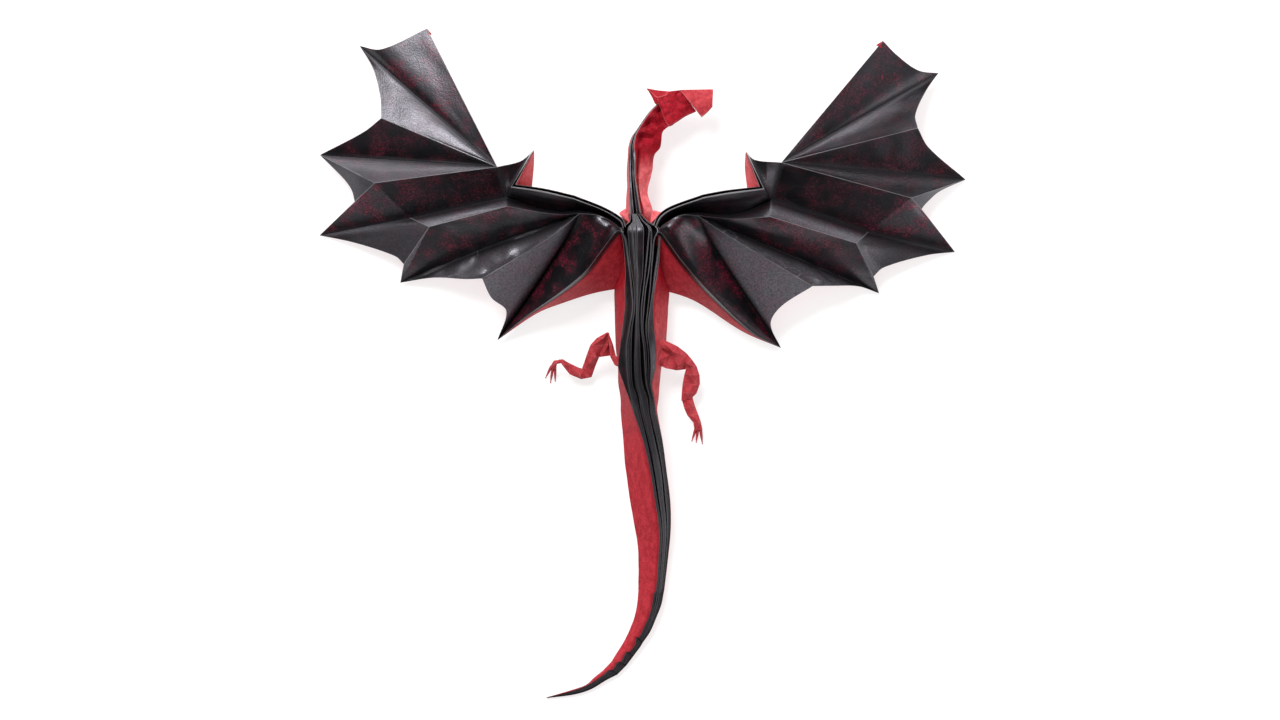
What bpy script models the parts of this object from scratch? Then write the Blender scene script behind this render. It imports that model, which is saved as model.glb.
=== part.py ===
"""A paper dragon folded from one square sheet, red on one face and black on the other.

It lies on its flat belly, seen from above with the head at +Y: a trunk of stacked
pleats, a curved neck and head, a long tail rolled on its side, two pleated wings
and two hind legs. It is one folded sheet, so it is one solid.
Plan points are (out, forward, height) or (x, y, height), in millimetres.
"""

import math

import bmesh
import bpy
from mathutils import Vector

MM = 0.001
WELD = 0.02 * MM            # corners of two panels closer than this are one
SLIVER = 0.001 * MM         # facets thinner than this are merged away

# Paper and pleats.
PAPER_THICKNESS = 0.7       # two bonded layers, measured straight down through a panel
SPINE_PLEAT_DEPTH = 5.0     # deepest gap between two layers
SPINE_PLEAT_SHARE = 0.3     # a gap is never deeper than this share of the section
# Start and end of each layer edge along the spine, from the +X flank to the other,
# as shares of the width across the layers. Between them are the dark gaps.
LAYERS = ((0.0, 0.18), (0.23, 0.30), (0.35, 0.42), (0.47, 0.53), (0.57, 0.74), (0.79, 1.0))
RIM_STEP = 0.8              # from one folded rim of the wing's arm to the next
RIM_PLEAT_DEPTH = 3.0       # depth of the groove between the arm's two rims
PANEL_STEPS = 5             # facets along each side of a wing panel
BODY_STEPS = 2              # sections between two stations of the body
LEG_THICKNESS = 1.6         # a leg is the sheet narrowed to several layers
LEG_RIDGE = 1.2             # height of the fold that runs down a leg
TOE_WIDTH = 1.6             # at a toe's root
TOE_TAPER = (1.0, 0.8, 0.3)  # width at root, middle and tip as shares of TOE_WIDTH

# Sizes that move whole features.
WING_LENGTH = 154.8         # from a wing's root to its farthest finger, across the body
TAIL_LENGTH = 156.8         # from the hips to the tip, along the body
WING_RISE = 1.0             # scales every height of the wings above the table
TRUNK_HEIGHT = 28.0         # belly to the layer edges, behind the wings
HEAD_BASE = 10.0            # lower jaw above the table
HEAD_DEPTH = 10.0           # between the two cheeks at the open jaw
CHEEK_THICKNESS = 1.4       # the head's faces are the sheet folded over several times

# Where the wings and the tail start to stretch when their length is changed.
WING_ROOT = 8.0
HIPS = -10.0

# Colours of the two faces of the sheet.
BLACK_PAPER = (0.022, 0.020, 0.024, 1.0)
RED_PAPER = (0.48, 0.035, 0.050, 1.0)
PAPER_ROUGHNESS = 0.55

# Wing outlines: (distance from the midline, distance forward, height of the underside)
# of the named corners where creases meet or end. T are the points of the fingers, M the hollows
# between them, K and Q where a crease breaks, F and G where a fan of creases starts.
LEFT_WING = {
    "T0": (106.0, 167.0, 14.0), "T1": (140.0, 158.8, 5.0), "T2": (160.0, 104.5, 0.0),
    "T3": (160.2, 64.3, 0.0), "T4": (119.8, 40.6, 1.5), "T5": (71.3, 11.8, 2.5),
    "M1": (128.7, 122.3, 17.0), "M2": (142.3, 81.0, 7.0), "M3": (117.8, 49.8, 8.0),
    "M4": (78.5, 42.5, 18.0),
    "K2": (132.0, 90.0, 17.0), "Q3": (114.5, 72.8, 12.0), "C3": (104.7, 68.2, 21.0),
    "F": (70.7, 97.6, 33.0), "G": (29.8, 74.6, 35.0),
    "J3": (66.0, 83.0, 27.0), "K3": (66.0, 78.0, 33.0),
    "CT": (52.5, 105.8, 42.0), "EL": (62.0, 88.5, 38.5), "AG": (32.5, 82.8, 39.0),
    "S": (7.5, 67.5, 29.5), "VG": (29.8, 76.6, 28.0), "VS": (7.7, 66.2, 26.0),
    "S2": (7.9, 65.0, 28.0), "S3": (6.6, 63.4, 23.0), "B": (5.0, 38.5, 8.0),
    "WT": (52.3, 104.0, 36.0), "WE": (54.0, 89.3, 22.0), "WA": (32.0, 86.2, 20.0),
    "WS": (4.0, 72.0, 20.0),
}
LEFT_CURVES = {
    ("T0", "T1"): [(128.7, 156.9, 11.0)],
    ("T1", "M1"): [(133.2, 147.4, 8.0), (129.3, 133.0, 13.0)],
    ("M1", "T2"): [(137.7, 115.6, 11.0)],
    ("T2", "M2"): [(147.7, 92.2, 4.0), (143.8, 86.6, 6.0)],
    ("T3", "M3"): [(142.1, 60.4, 3.5), (122.0, 53.7, 7.5)],
    ("T4", "M4"): [(103.0, 43.0, 8.0), (86.3, 42.2, 15.5)],
    ("M4", "T5"): [(74.0, 33.0, 16.5), (66.6, 26.4, 12.5)],
    ("G", "T4"): [(40.0, 71.0, 28.0), (75.2, 58.7, 14.0), (97.5, 49.8, 7.0)],
    ("G", "M4"): [(43.9, 63.2, 30.0)],
    ("G", "T5"): [(38.0, 60.0, 22.0), (55.0, 34.0, 9.0)],
    ("S2", "T5"): [(11.2, 66.0, 34.0), (17.8, 57.8, 33.0), (26.5, 46.4, 29.5),
                   (37.9, 36.8, 25.0), (57.0, 23.4, 13.0)],
    ("S3", "T5"): [(10.0, 64.4, 30.0), (16.5, 56.8, 29.0), (25.3, 45.4, 25.8),
                   (37.1, 35.8, 21.8), (56.8, 23.0, 12.0)],
    ("B", "T5"): [(22.6, 35.4, 6.0), (37.9, 30.6, 5.0), (51.3, 25.3, 4.0)],
    ("F", "CT"): [(59.0, 100.4, 37.0)],
    ("EL", "AG"): [(47.5, 86.5, 39.0)],
    ("AG", "S"): [(17.5, 77.0, 37.5), (9.0, 71.8, 35.5)],
    ("K3", "G"): [(40.0, 74.0, 34.0)],
    ("G", "S2"): [(20.0, 73.4, 35.0), (12.0, 69.0, 34.5)],
    ("J3", "VG"): [(51.5, 77.7, 26.5), (40.0, 75.6, 27.0)],
    ("VG", "VS"): [(20.0, 75.2, 28.5), (12.0, 70.4, 29.5)],
    ("WT", "WE"): [(52.6, 98.0, 28.0)],
    ("WE", "WA"): [(45.0, 88.4, 21.0)],
    ("WA", "WS"): [(17.0, 80.6, 20.0)],
}
RIGHT_WING = {
    "T0": (120.9, 160.9, 14.0), "T1": (149.0, 145.2, 5.0), "T2": (162.8, 92.2, 0.0),
    "T3": (157.5, 56.0, 0.0), "T4": (119.5, 35.3, 1.5), "T5": (70.4, 8.0, 2.5),
    "M1": (138.2, 117.3, 17.0), "M2": (140.4, 77.2, 8.0), "M3": (116.5, 43.7, 8.0),
    "M4": (85.8, 38.7, 18.0),
    "K2": (135.0, 82.6, 16.0), "Q3": (113.7, 65.8, 12.0), "C3": (107.5, 60.0, 21.0),
    "F": (70.0, 99.8, 33.0), "G": (28.1, 73.6, 35.0),
    "J3": (65.0, 82.0, 27.0), "K3": (64.3, 72.9, 33.0),
    "CT": (52.3, 105.1, 42.0), "EL": (61.3, 86.7, 38.5), "AG": (31.5, 82.3, 39.0),
    "S": (7.6, 67.5, 29.5), "VG": (28.1, 75.8, 28.0), "VS": (7.8, 66.2, 26.0),
    "S2": (8.0, 64.7, 28.0), "S3": (6.8, 63.2, 23.0), "B": (6.0, 37.0, 8.0),
    "WT": (52.1, 103.4, 36.0), "WE": (53.3, 88.1, 22.0), "WA": (31.0, 85.7, 20.0),
    "WS": (4.0, 72.0, 20.0),
}
RIGHT_CURVES = {
    ("T0", "T1"): [(128.2, 153.6, 13.0), (138.6, 146.4, 10.0)],
    ("T1", "M1"): [(142.7, 136.3, 8.0), (137.1, 124.0, 14.0)],
    ("M1", "T2"): [(143.8, 107.9, 11.0)],
    ("T2", "M2"): [(149.4, 86.0, 4.0), (142.4, 79.8, 7.0)],
    ("T3", "M3"): [(142.7, 54.2, 3.5), (121.5, 48.1, 7.5)],
    ("T4", "M4"): [(109.2, 38.7, 6.0), (95.8, 38.9, 14.0)],
    ("M4", "T5"): [(70.2, 28.6, 16.5), (65.1, 20.2, 12.0)],
    ("G", "T4"): [(40.0, 68.5, 28.0), (75.2, 54.0, 14.0), (97.5, 44.6, 7.0)],
    ("G", "M4"): [(42.0, 64.6, 31.0)],
    ("G", "T5"): [(37.0, 58.0, 20.0), (54.0, 32.0, 9.0)],
    ("S2", "T5"): [(10.4, 65.2, 34.0), (15.0, 58.8, 33.0), (21.4, 50.1, 30.5),
                   (34.3, 35.8, 25.5), (56.2, 15.4, 11.5)],
    ("S3", "T5"): [(9.3, 63.9, 30.0), (13.8, 57.8, 29.0), (20.2, 49.1, 27.0),
                   (33.4, 34.8, 22.3), (55.9, 15.0, 10.6)],
    ("B", "T5"): [(15.7, 35.6, 7.0), (28.1, 31.0, 5.5), (51.5, 16.0, 4.0)],
    ("F", "CT"): [(56.8, 101.0, 37.5)],
    ("EL", "AG"): [(44.0, 84.6, 39.0)],
    ("AG", "S"): [(15.5, 76.5, 37.5), (10.0, 72.6, 35.5)],
    ("K3", "G"): [(46.0, 71.8, 34.0)],
    ("G", "S2"): [(20.0, 73.6, 35.0), (12.0, 69.0, 34.5)],
    ("J3", "VG"): [(51.5, 75.4, 26.5), (40.0, 74.2, 27.0)],
    ("VG", "VS"): [(20.0, 75.0, 28.5), (12.0, 70.4, 29.5)],
    ("WT", "WE"): [(52.0, 97.0, 28.0)],
    ("WE", "WA"): [(44.0, 87.0, 21.0)],
    ("WA", "WS"): [(14.0, 79.8, 20.0)],
}

# The wing's length in the tables.
WING_IN_TABLE = max(out for out, _, _ in RIGHT_WING.values()) - WING_ROOT

# Each panel is bounded by the curves between four corners; a repeated corner makes
# a triangular panel.
WING_PANELS = (
    ("F", "T0", "T1", "F"), ("F", "T1", "M1", "F"), ("F", "M1", "T2", "F"),
    ("F", "T2", "K2", "F"), ("T2", "M2", "K2", "T2"),
    ("J3", "Q3", "K2", "F"), ("Q3", "T3", "M2", "K2"),
    ("J3", "Q3", "C3", "K3"), ("Q3", "T3", "M3", "C3"), ("C3", "M3", "T4", "C3"),
    ("K3", "C3", "T4", "G"), ("G", "T4", "M4", "G"), ("G", "M4", "T5", "G"),
    ("G", "T5", "T5", "S2"), ("S2", "T5", "T5", "S3"), ("S3", "T5", "T5", "B"),
    ("F", "CT", "EL", "J3"), ("EL", "AG", "VG", "J3"), ("AG", "S", "VS", "VG"),
    ("J3", "VG", "G", "K3"), ("VG", "VS", "S2", "G"),
    ("CT", "EL", "GE", "CT"), ("EL", "AG", "GA", "GE"), ("AG", "S", "GS", "GA"),
    ("CT", "GE", "RE", "CT"), ("GE", "GA", "RA", "RE"), ("GA", "GS", "RS", "RA"),
    ("CT", "RE", "WE", "WT"), ("RE", "RA", "WA", "WE"), ("RA", "RS", "WS", "WA"),
)
# Panels whose red face is up: the lining behind the wing's last finger and the claw.
RED_PANELS = (("S3", "T5", "T5", "B"), ("CT", "RE", "WE", "WT"))
# Directions in which the arm's rim is doubled, in units of RIM_STEP.
RIM_DIRECTIONS = {
    "CT": (0.0, 0.0), "EL": (-1.42, 0.67), "AG": (-0.19, 0.98), "S": (-0.5, 0.87),
}

# Body stations from behind the head to the tip of the tail: middle of the section
# in plan, half width at the belly, half width across the layers, height, how far the
# layers sit to the +X side of the belly's middle, roll in degrees (positive leans the
# layers to +X) and lift of the lowest corner. The trunk has no roll, so its belly is
# one flat face.
BODY_STATIONS = (
    (13.5, 127.5, 1.6, 1.4, 11.0, 0.0, -78.0, 11.0),
    (8.0, 121.3, 2.2, 1.8, 12.0, 0.0, -74.0, 11.0),
    (3.4, 113.5, 3.2, 2.4, 13.0, 0.0, -62.0, 10.0),
    (0.2, 104.0, 4.2, 2.2, 14.5, 0.0, -36.0, 9.0),
    (-2.2, 94.5, 5.9, 1.8, 17.0, 0.0, -13.0, 7.0),
    (-2.3, 84.5, 5.6, 2.2, 20.0, 0.0, -6.0, 5.0),
    (-1.4, 78.0, 6.4, 2.5, 23.0, 0.0, -5.0, 3.0),
    (-0.4, 73.5, 10.4, 4.2, 28.0, 0.0, -2.0, 0.0),
    (0.0, 68.0, 11.5, 9.6, 33.5, 0.0, 0.0, 0.0),
    (0.4, 60.0, 12.4, 9.0, 33.0, 0.0, 0.0, 0.0),
    (0.7, 50.0, 13.2, 8.6, 31.0, -0.5, 0.0, 0.0),
    (1.0, 38.5, 13.6, 7.6, TRUNK_HEIGHT + 1.0, -1.0, 0.0, 0.0),
    (0.8, 27.0, 13.3, 7.3, TRUNK_HEIGHT, -1.4, 0.0, 0.0),
    (0.3, 8.0, 12.4, 8.7, TRUNK_HEIGHT - 1.0, -0.9, 0.0, 0.0),
    (-0.3, 0.5, 10.9, 9.7, TRUNK_HEIGHT - 2.0, -1.0, 0.0, 0.0),
    (-0.5, -10.0, 10.3, 6.7, 24.5, 0.0, 0.0, 0.0),
    (0.8, -24.0, 8.5, 5.4, 22.0, 0.0, 11.0, 0.0),
    (1.9, -38.0, 6.6, 5.0, 20.0, 0.0, 27.0, 0.0),
    (2.9, -52.0, 6.0, 5.3, 19.0, 0.0, 38.0, 0.0),
    (5.6, -73.5, 4.9, 5.0, 17.0, 0.0, 48.0, 0.0),
    (6.4, -91.5, 3.1, 4.2, 14.0, 0.0, 53.0, 0.0),
    (5.7, -109.5, 2.3, 3.4, 12.0, 0.0, 54.0, 0.0),
    (3.4, -123.0, 2.0, 3.0, 9.9, 0.0, 50.0, 0.0),
    (-1.3, -134.5, 1.7, 2.5, 7.2, 0.0, 40.0, 0.0),
    (-6.7, -145.0, 1.5, 2.2, 6.0, 0.0, 37.0, 0.0),
    (-18.5, -156.7, 1.4, 1.8, 3.8, 0.0, 25.0, 0.0),
    (-32.0, -163.6, 0.9, 1.0, 2.2, 0.0, 15.0, 0.0),
    (-46.6, -166.8, 0.3, 0.3, 0.8, 0.0, 0.0, 0.0),
)
TAIL_IN_TABLE = HIPS - BODY_STATIONS[-1][1]

# Legs: strips of folded sheet. Each station is the two edges in plan and a height.
LEFT_LEG = (
    (((-16.2, 15.9), (-15.6, 15.4), 19.0), ((-21.5, 13.0), (-17.2, 12.8), 18.0),
     ((-24.8, 9.4), (-18.6, 9.4), 16.0), ((-26.6, 4.5), (-20.3, 3.5), 12.0),
     ((-29.0, -2.4), (-22.2, -1.0), 7.0), ((-26.4, -6.8), (-24.2, -6.6), 5.0)),
    (((-16.6, 15.3), (-15.6, 15.2), 17.0), ((-18.4, 9.5), (-14.8, 9.5), 14.5),
     ((-20.4, 3.4), (-14.6, 4.2), 12.5)),
    (((-16.4, 15.6), (-15.5, 15.4), 19.0), ((-15.4, 9.5), (-13.4, 9.7), 18.5),
     ((-14.8, 3.6), (-12.0, 4.2), 17.5), ((-12.6, -0.6), (-9.0, 0.6), 16.5),
     ((-8.0, -2.6), (-6.0, -1.0), 15.5)),
    (((-29.2, -2.2), (-25.0, -6.8), 5.5), ((-31.0, -1.6), (-29.4, -7.6), 6.0),
     ((-35.5, 0.6), (-35.0, -5.2), 7.5), ((-38.5, 2.4), (-38.0, -1.6), 9.0),
     ((-40.6, 2.3), (-39.6, 0.6), 9.0)),
    (((-39.0, 2.2), (-39.4, 0.4), 9.0), ((-43.0, 1.8), (-41.4, 0.0), 8.0),
     ((-45.0, -1.6), (-42.0, -2.6), 5.0)),
)
RIGHT_LEG = (
    (((6.0, 7.0), (6.0, 1.0), 15.5), ((11.0, 9.4), (9.0, -0.4), 15.0),
     ((16.5, 7.0), (13.0, -2.2), 14.0), ((20.5, 2.6), (18.4, -3.2), 13.0),
     ((24.0, 0.0), (23.0, -2.6), 12.0)),
    (((11.0, 12.5), (8.0, 10.0), 18.5), ((18.6, 8.9), (15.6, 5.2), 18.0),
     ((23.0, 5.6), (18.8, -0.7), 16.5), ((25.8, 2.4), (22.6, -0.6), 15.0),
     ((28.2, -1.0), (22.9, -2.6), 13.5), ((29.7, -5.5), (22.1, -5.2), 11.5),
     ((29.9, -9.9), (21.2, -9.9), 9.5), ((28.2, -14.7), (20.8, -14.5), 7.5),
     ((25.8, -17.0), (20.6, -18.4), 6.5)),
    (((20.8, -17.6), (26.2, -16.4), 5.5), ((22.0, -22.0), (27.3, -20.5), 6.0),
     ((23.6, -25.6), (29.0, -25.0), 6.0), ((26.7, -29.4), (30.4, -28.8), 5.0),
     ((27.2, -33.2), (31.2, -32.8), 3.6)),
)
# Toes: root and tip, (x, y, height).
LEFT_TOES = (
    ((-44.2, -1.0, 5.0), (-47.3, -7.2, 0.5)),
    ((-43.5, -1.5, 5.0), (-44.8, -9.7, 0.5)),
    ((-42.4, -1.6, 5.0), (-42.4, -8.9, 0.5)),
)
RIGHT_TOES = (
    ((28.0, -32.0, 3.6), (25.8, -38.8, 0.5)),
    ((29.0, -32.0, 3.6), (28.0, -39.5, 0.5)),
    ((30.2, -32.0, 3.6), (31.2, -40.2, 0.5)),
)

# Head: crest and jaw in plan from the back to the tip of the snout, then heights of the
# lower jaw, the crest and the upper jaw above HEAD_BASE, as shares of HEAD_DEPTH.
CHEEKS = (
    ((8.2, 133.8), (9.6, 128.8), 0.08, 0.48, 0.76),
    ((11.5, 135.0), (13.9, 118.8), 0.04, 0.46, 0.90),
    ((15.0, 135.7), (18.0, 120.6), 0.02, 0.45, 0.94),
    ((18.0, 136.1), (23.4, 124.1), 0.02, 0.45, 0.93),
    ((20.0, 136.4), (30.6, 123.1), 0.02, 0.46, 0.74),
)
SNOUT = (
    ((19.6, 136.4), (30.2, 123.3), 0.02, 0.46, 0.76),
    ((28.5, 136.6), (33.4, 125.4), 0.00, 0.46, 1.00),
    ((36.4, 136.8), (36.0, 128.4), 0.04, 0.46, 0.90),
)
# Horns: the two edges in plan from the root in the cheeks to the tip, and how far the
# strip has left the crest on its way to the tip's height, as a share.
HORN = (
    ((14.5, 135.4), (12.0, 131.5), 0.0),
    ((9.0, 136.0), (8.0, 129.8), 0.4),
    ((3.5, 137.0), (3.7, 136.5), 1.0),
)
CREST = 0.46                # height of the horns' roots as a share of HEAD_DEPTH
HORN_TIPS = (0.15, 0.85)    # heights of their tips


def paper(name, colour):
    """One face of the sheet as a plain material."""
    made = bpy.data.materials.new(name)
    made.use_nodes = True
    shader = made.node_tree.nodes["Principled BSDF"]
    shader.inputs["Base Color"].default_value = colour
    shader.inputs["Roughness"].default_value = PAPER_ROUGHNESS
    shader.inputs["Metallic"].default_value = 0.0
    made.diffuse_color = colour
    return made


def smooth_path(points, steps):
    """steps + 1 points along a smooth curve through the given points."""
    points = [Vector(p) for p in points]
    if len(points) == 2:
        return [points[0].lerp(points[1], i / steps) for i in range(steps + 1)]
    lengths = [0.0]
    for a, b in zip(points, points[1:]):
        lengths.append(lengths[-1] + (b - a).length)
    if lengths[-1] == 0.0:
        return [points[0].copy() for _ in range(steps + 1)]
    slopes = []
    for i in range(len(points)):
        before, after = max(i - 1, 0), min(i + 1, len(points) - 1)
        slopes.append((points[after] - points[before]) / (lengths[after] - lengths[before]))
    made = []
    for i in range(steps + 1):
        at = lengths[-1] * i / steps
        k = next((j for j in range(1, len(lengths)) if at <= lengths[j]), len(lengths) - 1)
        span = lengths[k] - lengths[k - 1]
        t = (at - lengths[k - 1]) / span
        made.append(
            points[k - 1] * (2 * t**3 - 3 * t**2 + 1)
            + slopes[k - 1] * span * (t**3 - 2 * t**2 + t)
            + points[k] * (3 * t**2 - 2 * t**3)
            + slopes[k] * span * (t**3 - t**2)
        )
    return made


def stretched(value, start, share):
    """A place beyond the start moved out or in, as when a wing or the tail is longer."""
    return value if value < start else start + (value - start) * share


def wing_point(out, forward, height):
    """A measured point of a wing, at the wing's own length and rise."""
    return Vector((stretched(out, WING_ROOT, WING_LENGTH / WING_IN_TABLE), forward,
                   height * WING_RISE))


def wing_edges(corners, curves):
    """A function that gives the curve between two named corners of one wing."""
    corners = {name: wing_point(*place) for name, place in corners.items()}
    known = {}
    for (a, b), inner in curves.items():
        through = [wing_point(*place) for place in inner]
        known[a, b] = smooth_path([corners[a], *through, corners[b]], PANEL_STEPS)
    known["CT", "EL"] = smooth_path([corners["CT"], corners["EL"]], PANEL_STEPS)

    def double_rim(letter, rims, drop):
        """Repeats the arm's rim one or two steps outwards, as the next fold."""
        for start, end in (("CT", "EL"), ("EL", "AG"), ("AG", "S")):
            moves = [
                Vector((*(RIM_STEP * rims * d for d in RIM_DIRECTIONS[c]), -drop))
                for c in (start, end)
            ]
            if start == "CT":
                moves[0] = Vector((0.0, 0.0, 0.0))
            ends = [start if start == "CT" else letter + start[0], letter + end[0]]
            known[tuple(ends)] = [
                p + moves[0].lerp(moves[1], i / PANEL_STEPS)
                for i, p in enumerate(known[start, end])
            ]
            corners[ends[0]] = known[tuple(ends)][0]
            corners[ends[1]] = known[tuple(ends)][-1]

    double_rim("G", 1, RIM_PLEAT_DEPTH)
    double_rim("R", 2, 0.0)

    def edge(a, b):
        if (a, b) in known:
            return known[a, b]
        if (b, a) in known:
            return known[b, a][::-1]
        return smooth_path([corners[a], corners[b]], PANEL_STEPS)

    return edge


def panel_grid(south, north, west, east):
    """Points of a panel that fills the space between four edge curves."""
    n = len(south) - 1
    grid = []
    for j in range(n + 1):
        t = j / n
        row = []
        for i in range(n + 1):
            s = i / n
            ruled = south[i] * (1 - t) + north[i] * t + west[j] * (1 - s) + east[j] * s
            corners = (
                south[0] * (1 - s) * (1 - t)
                + south[n] * s * (1 - t)
                + north[0] * (1 - s) * t
                + north[n] * s * t
            )
            row.append(ruled - corners)
        grid.append(row)
    return grid


def add_grid(shape, grid, place, slot):
    """Adds a grid of points to a bmesh as four-sided faces."""
    rows = [[shape.verts.new(place(p) * MM) for p in row] for row in grid]
    for low, high in zip(rows, rows[1:]):
        for i in range(len(low) - 1):
            face = shape.faces.new((low[i], low[i + 1], high[i + 1], high[i]))
            face.material_index = slot


def new_object(name, shape, *materials):
    """An object from a bmesh whose faces are made to point outwards."""
    bmesh.ops.recalc_face_normals(shape, faces=shape.faces)
    mesh = bpy.data.meshes.new(name)
    shape.to_mesh(mesh)
    shape.free()
    for material in materials:
        mesh.materials.append(material)
    return bpy.data.objects.new(name, mesh)


def wing(name, corners, curves, side, black, red):
    """One wing: creased panels welded into a sheet, then given the paper's thickness.

    side is -1 for the wing at -X and 1 for the one at +X. The underside is the other
    face of the sheet.
    """
    edge = wing_edges(corners, curves)
    shape = bmesh.new()
    for panel in WING_PANELS:
        a, b, c, d = panel
        grid = panel_grid(edge(a, b), edge(d, c), edge(a, d), edge(b, c))
        add_grid(shape, grid, lambda p: Vector((side * p.x, p.y, p.z)), int(panel in RED_PANELS))
    bmesh.ops.remove_doubles(shape, verts=shape.verts, dist=WELD)
    bmesh.ops.dissolve_degenerate(shape, edges=shape.edges, dist=WELD / 2)
    bmesh.ops.recalc_face_normals(shape, faces=shape.faces)
    underside = shape.faces[:]
    upper = bmesh.ops.extrude_face_region(shape, geom=underside, use_keep_orig=True)
    for face in underside:
        face.material_index = 1 - face.material_index
    moved = [v for v in upper["geom"] if isinstance(v, bmesh.types.BMVert)]
    bmesh.ops.translate(shape, verts=moved, vec=(0, 0, PAPER_THICKNESS * MM))
    return new_object(name, shape, black, red)


def layered_section(belly, top, height, slide):
    """Outline of the body: a belly corner, the layer edges as a comb, the other corner."""
    depth = min(SPINE_PLEAT_DEPTH, SPINE_PLEAT_SHARE * height)

    def across(share):
        return slide + top * (1 - 2 * share)

    points = [(belly, -height / 2)]
    for (start, end), following in zip(LAYERS, LAYERS[1:] + (None,)):
        points += [(across(start), height / 2), (across(end), height / 2)]
        if following:
            points.append((across((end + following[0]) / 2), height / 2 - depth))
    points.append((-belly, -height / 2))
    return points


def loft(shape, rings, red_sides=()):
    """Joins closed rings of points into a tube with flat ends.

    Sides whose number is in red_sides get the second material.
    """
    rows = [[shape.verts.new(p * MM) for p in ring] for ring in rings]
    count = len(rows[0])
    for low, high in zip(rows, rows[1:]):
        for i in range(count):
            j = (i + 1) % count
            side = shape.faces.new((low[i], low[j], high[j], high[i]))
            side.material_index = int(i in red_sides)
    shape.faces.new(rows[0][::-1])
    shape.faces.new(rows[-1])


def through(values, t):
    """A smooth course through the middle two of four values, t of the way along."""
    p0, p1, p2, p3 = values
    return 0.5 * (2 * p1 + (p2 - p0) * t + (2 * p0 - 5 * p1 + 4 * p2 - p3) * t**2
                  + (3 * p1 - p0 - 3 * p2 + p3) * t**3)


def body(black, red):
    """Neck, trunk and tail: one pleated section swept along the spine and rolled.

    The flanks and the belly are red, the layer edges black.
    """
    longer = TAIL_LENGTH / TAIL_IN_TABLE
    stations = [(x, -stretched(-y, -HIPS, longer), *rest) for x, y, *rest in BODY_STATIONS]
    sampled = []
    for k in range(len(stations) - 1):
        near = (max(k - 1, 0), k, k + 1, min(k + 2, len(stations) - 1))
        for step in range(BODY_STEPS):
            sampled.append([through(values, step / BODY_STEPS)
                            for values in zip(*(stations[i] for i in near))])
    sampled.append(stations[-1])
    rings = []
    for i, (x, y, belly, top, height, slide, roll, lift) in enumerate(sampled):
        before, after = sampled[max(i - 1, 0)], sampled[min(i + 1, len(sampled) - 1)]
        along = Vector((after[0] - before[0], after[1] - before[1], 0)).normalized()
        across = Vector((-along.y, along.x, 0))
        angle = math.radians(roll)
        up = Vector((0, 0, 1)) * math.cos(angle) + across * math.sin(angle)
        side = across * math.cos(angle) - Vector((0, 0, 1)) * math.sin(angle)
        middle = lift + height / 2 * math.cos(angle) + belly * abs(math.sin(angle))
        centre = Vector((x, y, middle))
        rings.append([centre + side * a + up * h
                      for a, h in layered_section(belly, top, height, slide)])
    shape = bmesh.new()
    sides = len(rings[0])
    loft(shape, rings, red_sides=(0, sides - 2, sides - 1))
    return new_object("folded_dragon", shape, black, red)


def strip(name, stations, material):
    """One fold of a leg or a horn: a strip with a raised crease down its middle."""
    rings = []
    for (lx, ly), (rx, ry), height in stations:
        left, right = Vector((lx, ly, height)), Vector((rx, ry, height))
        middle = (left + right) / 2
        width = (right - left).length
        ridge = min(LEG_RIDGE, width / 2)
        rings.append((left, middle - Vector((0, 0, LEG_THICKNESS)), right,
                      middle + Vector((0, 0, ridge))))
    shape = bmesh.new()
    loft(shape, rings)
    return new_object(name, shape, material)


def toe(name, root, tip, material):
    """A toe: a slim three-sided spike."""
    root, tip = Vector(root), Vector(tip)
    along = (tip - root).normalized()
    side = along.cross(Vector((0, 0, 1))).normalized()
    rings = []
    for number, taper in enumerate(TOE_TAPER):
        at = root.lerp(tip, number / (len(TOE_TAPER) - 1))
        half = taper * TOE_WIDTH / 2
        rings.append((at - side * half, at + side * half, at + side.cross(along) * half))
    shape = bmesh.new()
    loft(shape, rings)
    return new_object(name, shape, material)


def wedge(name, stations, material):
    """Two faces of the head that are closed along the crest and open at the jaw."""
    rings = []
    for crest, jaw, *shares in stations:
        low, middle, high = (HEAD_BASE + share * HEAD_DEPTH for share in shares)
        inwards = (Vector(jaw) - Vector(crest)).normalized() * CHEEK_THICKNESS
        wall = Vector((0, 0, CHEEK_THICKNESS))
        outer_low, outer_high = Vector((*jaw, low)), Vector((*jaw, high))
        fold = Vector((*crest, middle))
        rings.append((outer_low, fold - wall / 2, fold + wall / 2, outer_high,
                      outer_high - wall, fold + Vector((*inwards, 0)), outer_low + wall))
    shape = bmesh.new()
    loft(shape, rings)
    return new_object(name, shape, material)


def head(material):
    """Cheeks, snout and two horns that spread from the crest."""
    parts = [wedge("cheeks", CHEEKS, material), wedge("snout", SNOUT, material)]
    for number, tip in enumerate(HORN_TIPS):
        stations = [(left, right, HEAD_BASE + HEAD_DEPTH * (CREST + (tip - CREST) * share))
                    for left, right, share in HORN]
        parts.append(strip(f"horn_{number}", stations, material))
    return parts


def legs(material):
    """Both hind legs, as overlapping folds with three toes each."""
    parts = []
    for side, strips, toes in (("left", LEFT_LEG, LEFT_TOES), ("right", RIGHT_LEG, RIGHT_TOES)):
        for number, stations in enumerate(strips):
            parts.append(strip(f"{side}_leg_fold_{number}", stations, material))
        for number, (root, tip) in enumerate(toes):
            parts.append(toe(f"{side}_toe_{number}", root, tip, material))
    return parts


def largest_shell(shape):
    """Keeps the outer skin and drops the pockets that folds lying together close off."""
    left = set(shape.faces)
    shells = []
    while left:
        shell = {left.pop()}
        rim = list(shell)
        while rim:
            crossed = [e for e in rim.pop().edges if len(e.link_faces) == 2]
            near = {f for e in crossed for f in e.link_faces} & left
            left -= near
            shell |= near
            rim += near
        shells.append(shell)
    shells.sort(key=len)
    pockets = [face for shell in shells[:-1] for face in shell]
    bmesh.ops.delete(shape, geom=pockets, context="FACES")


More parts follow.
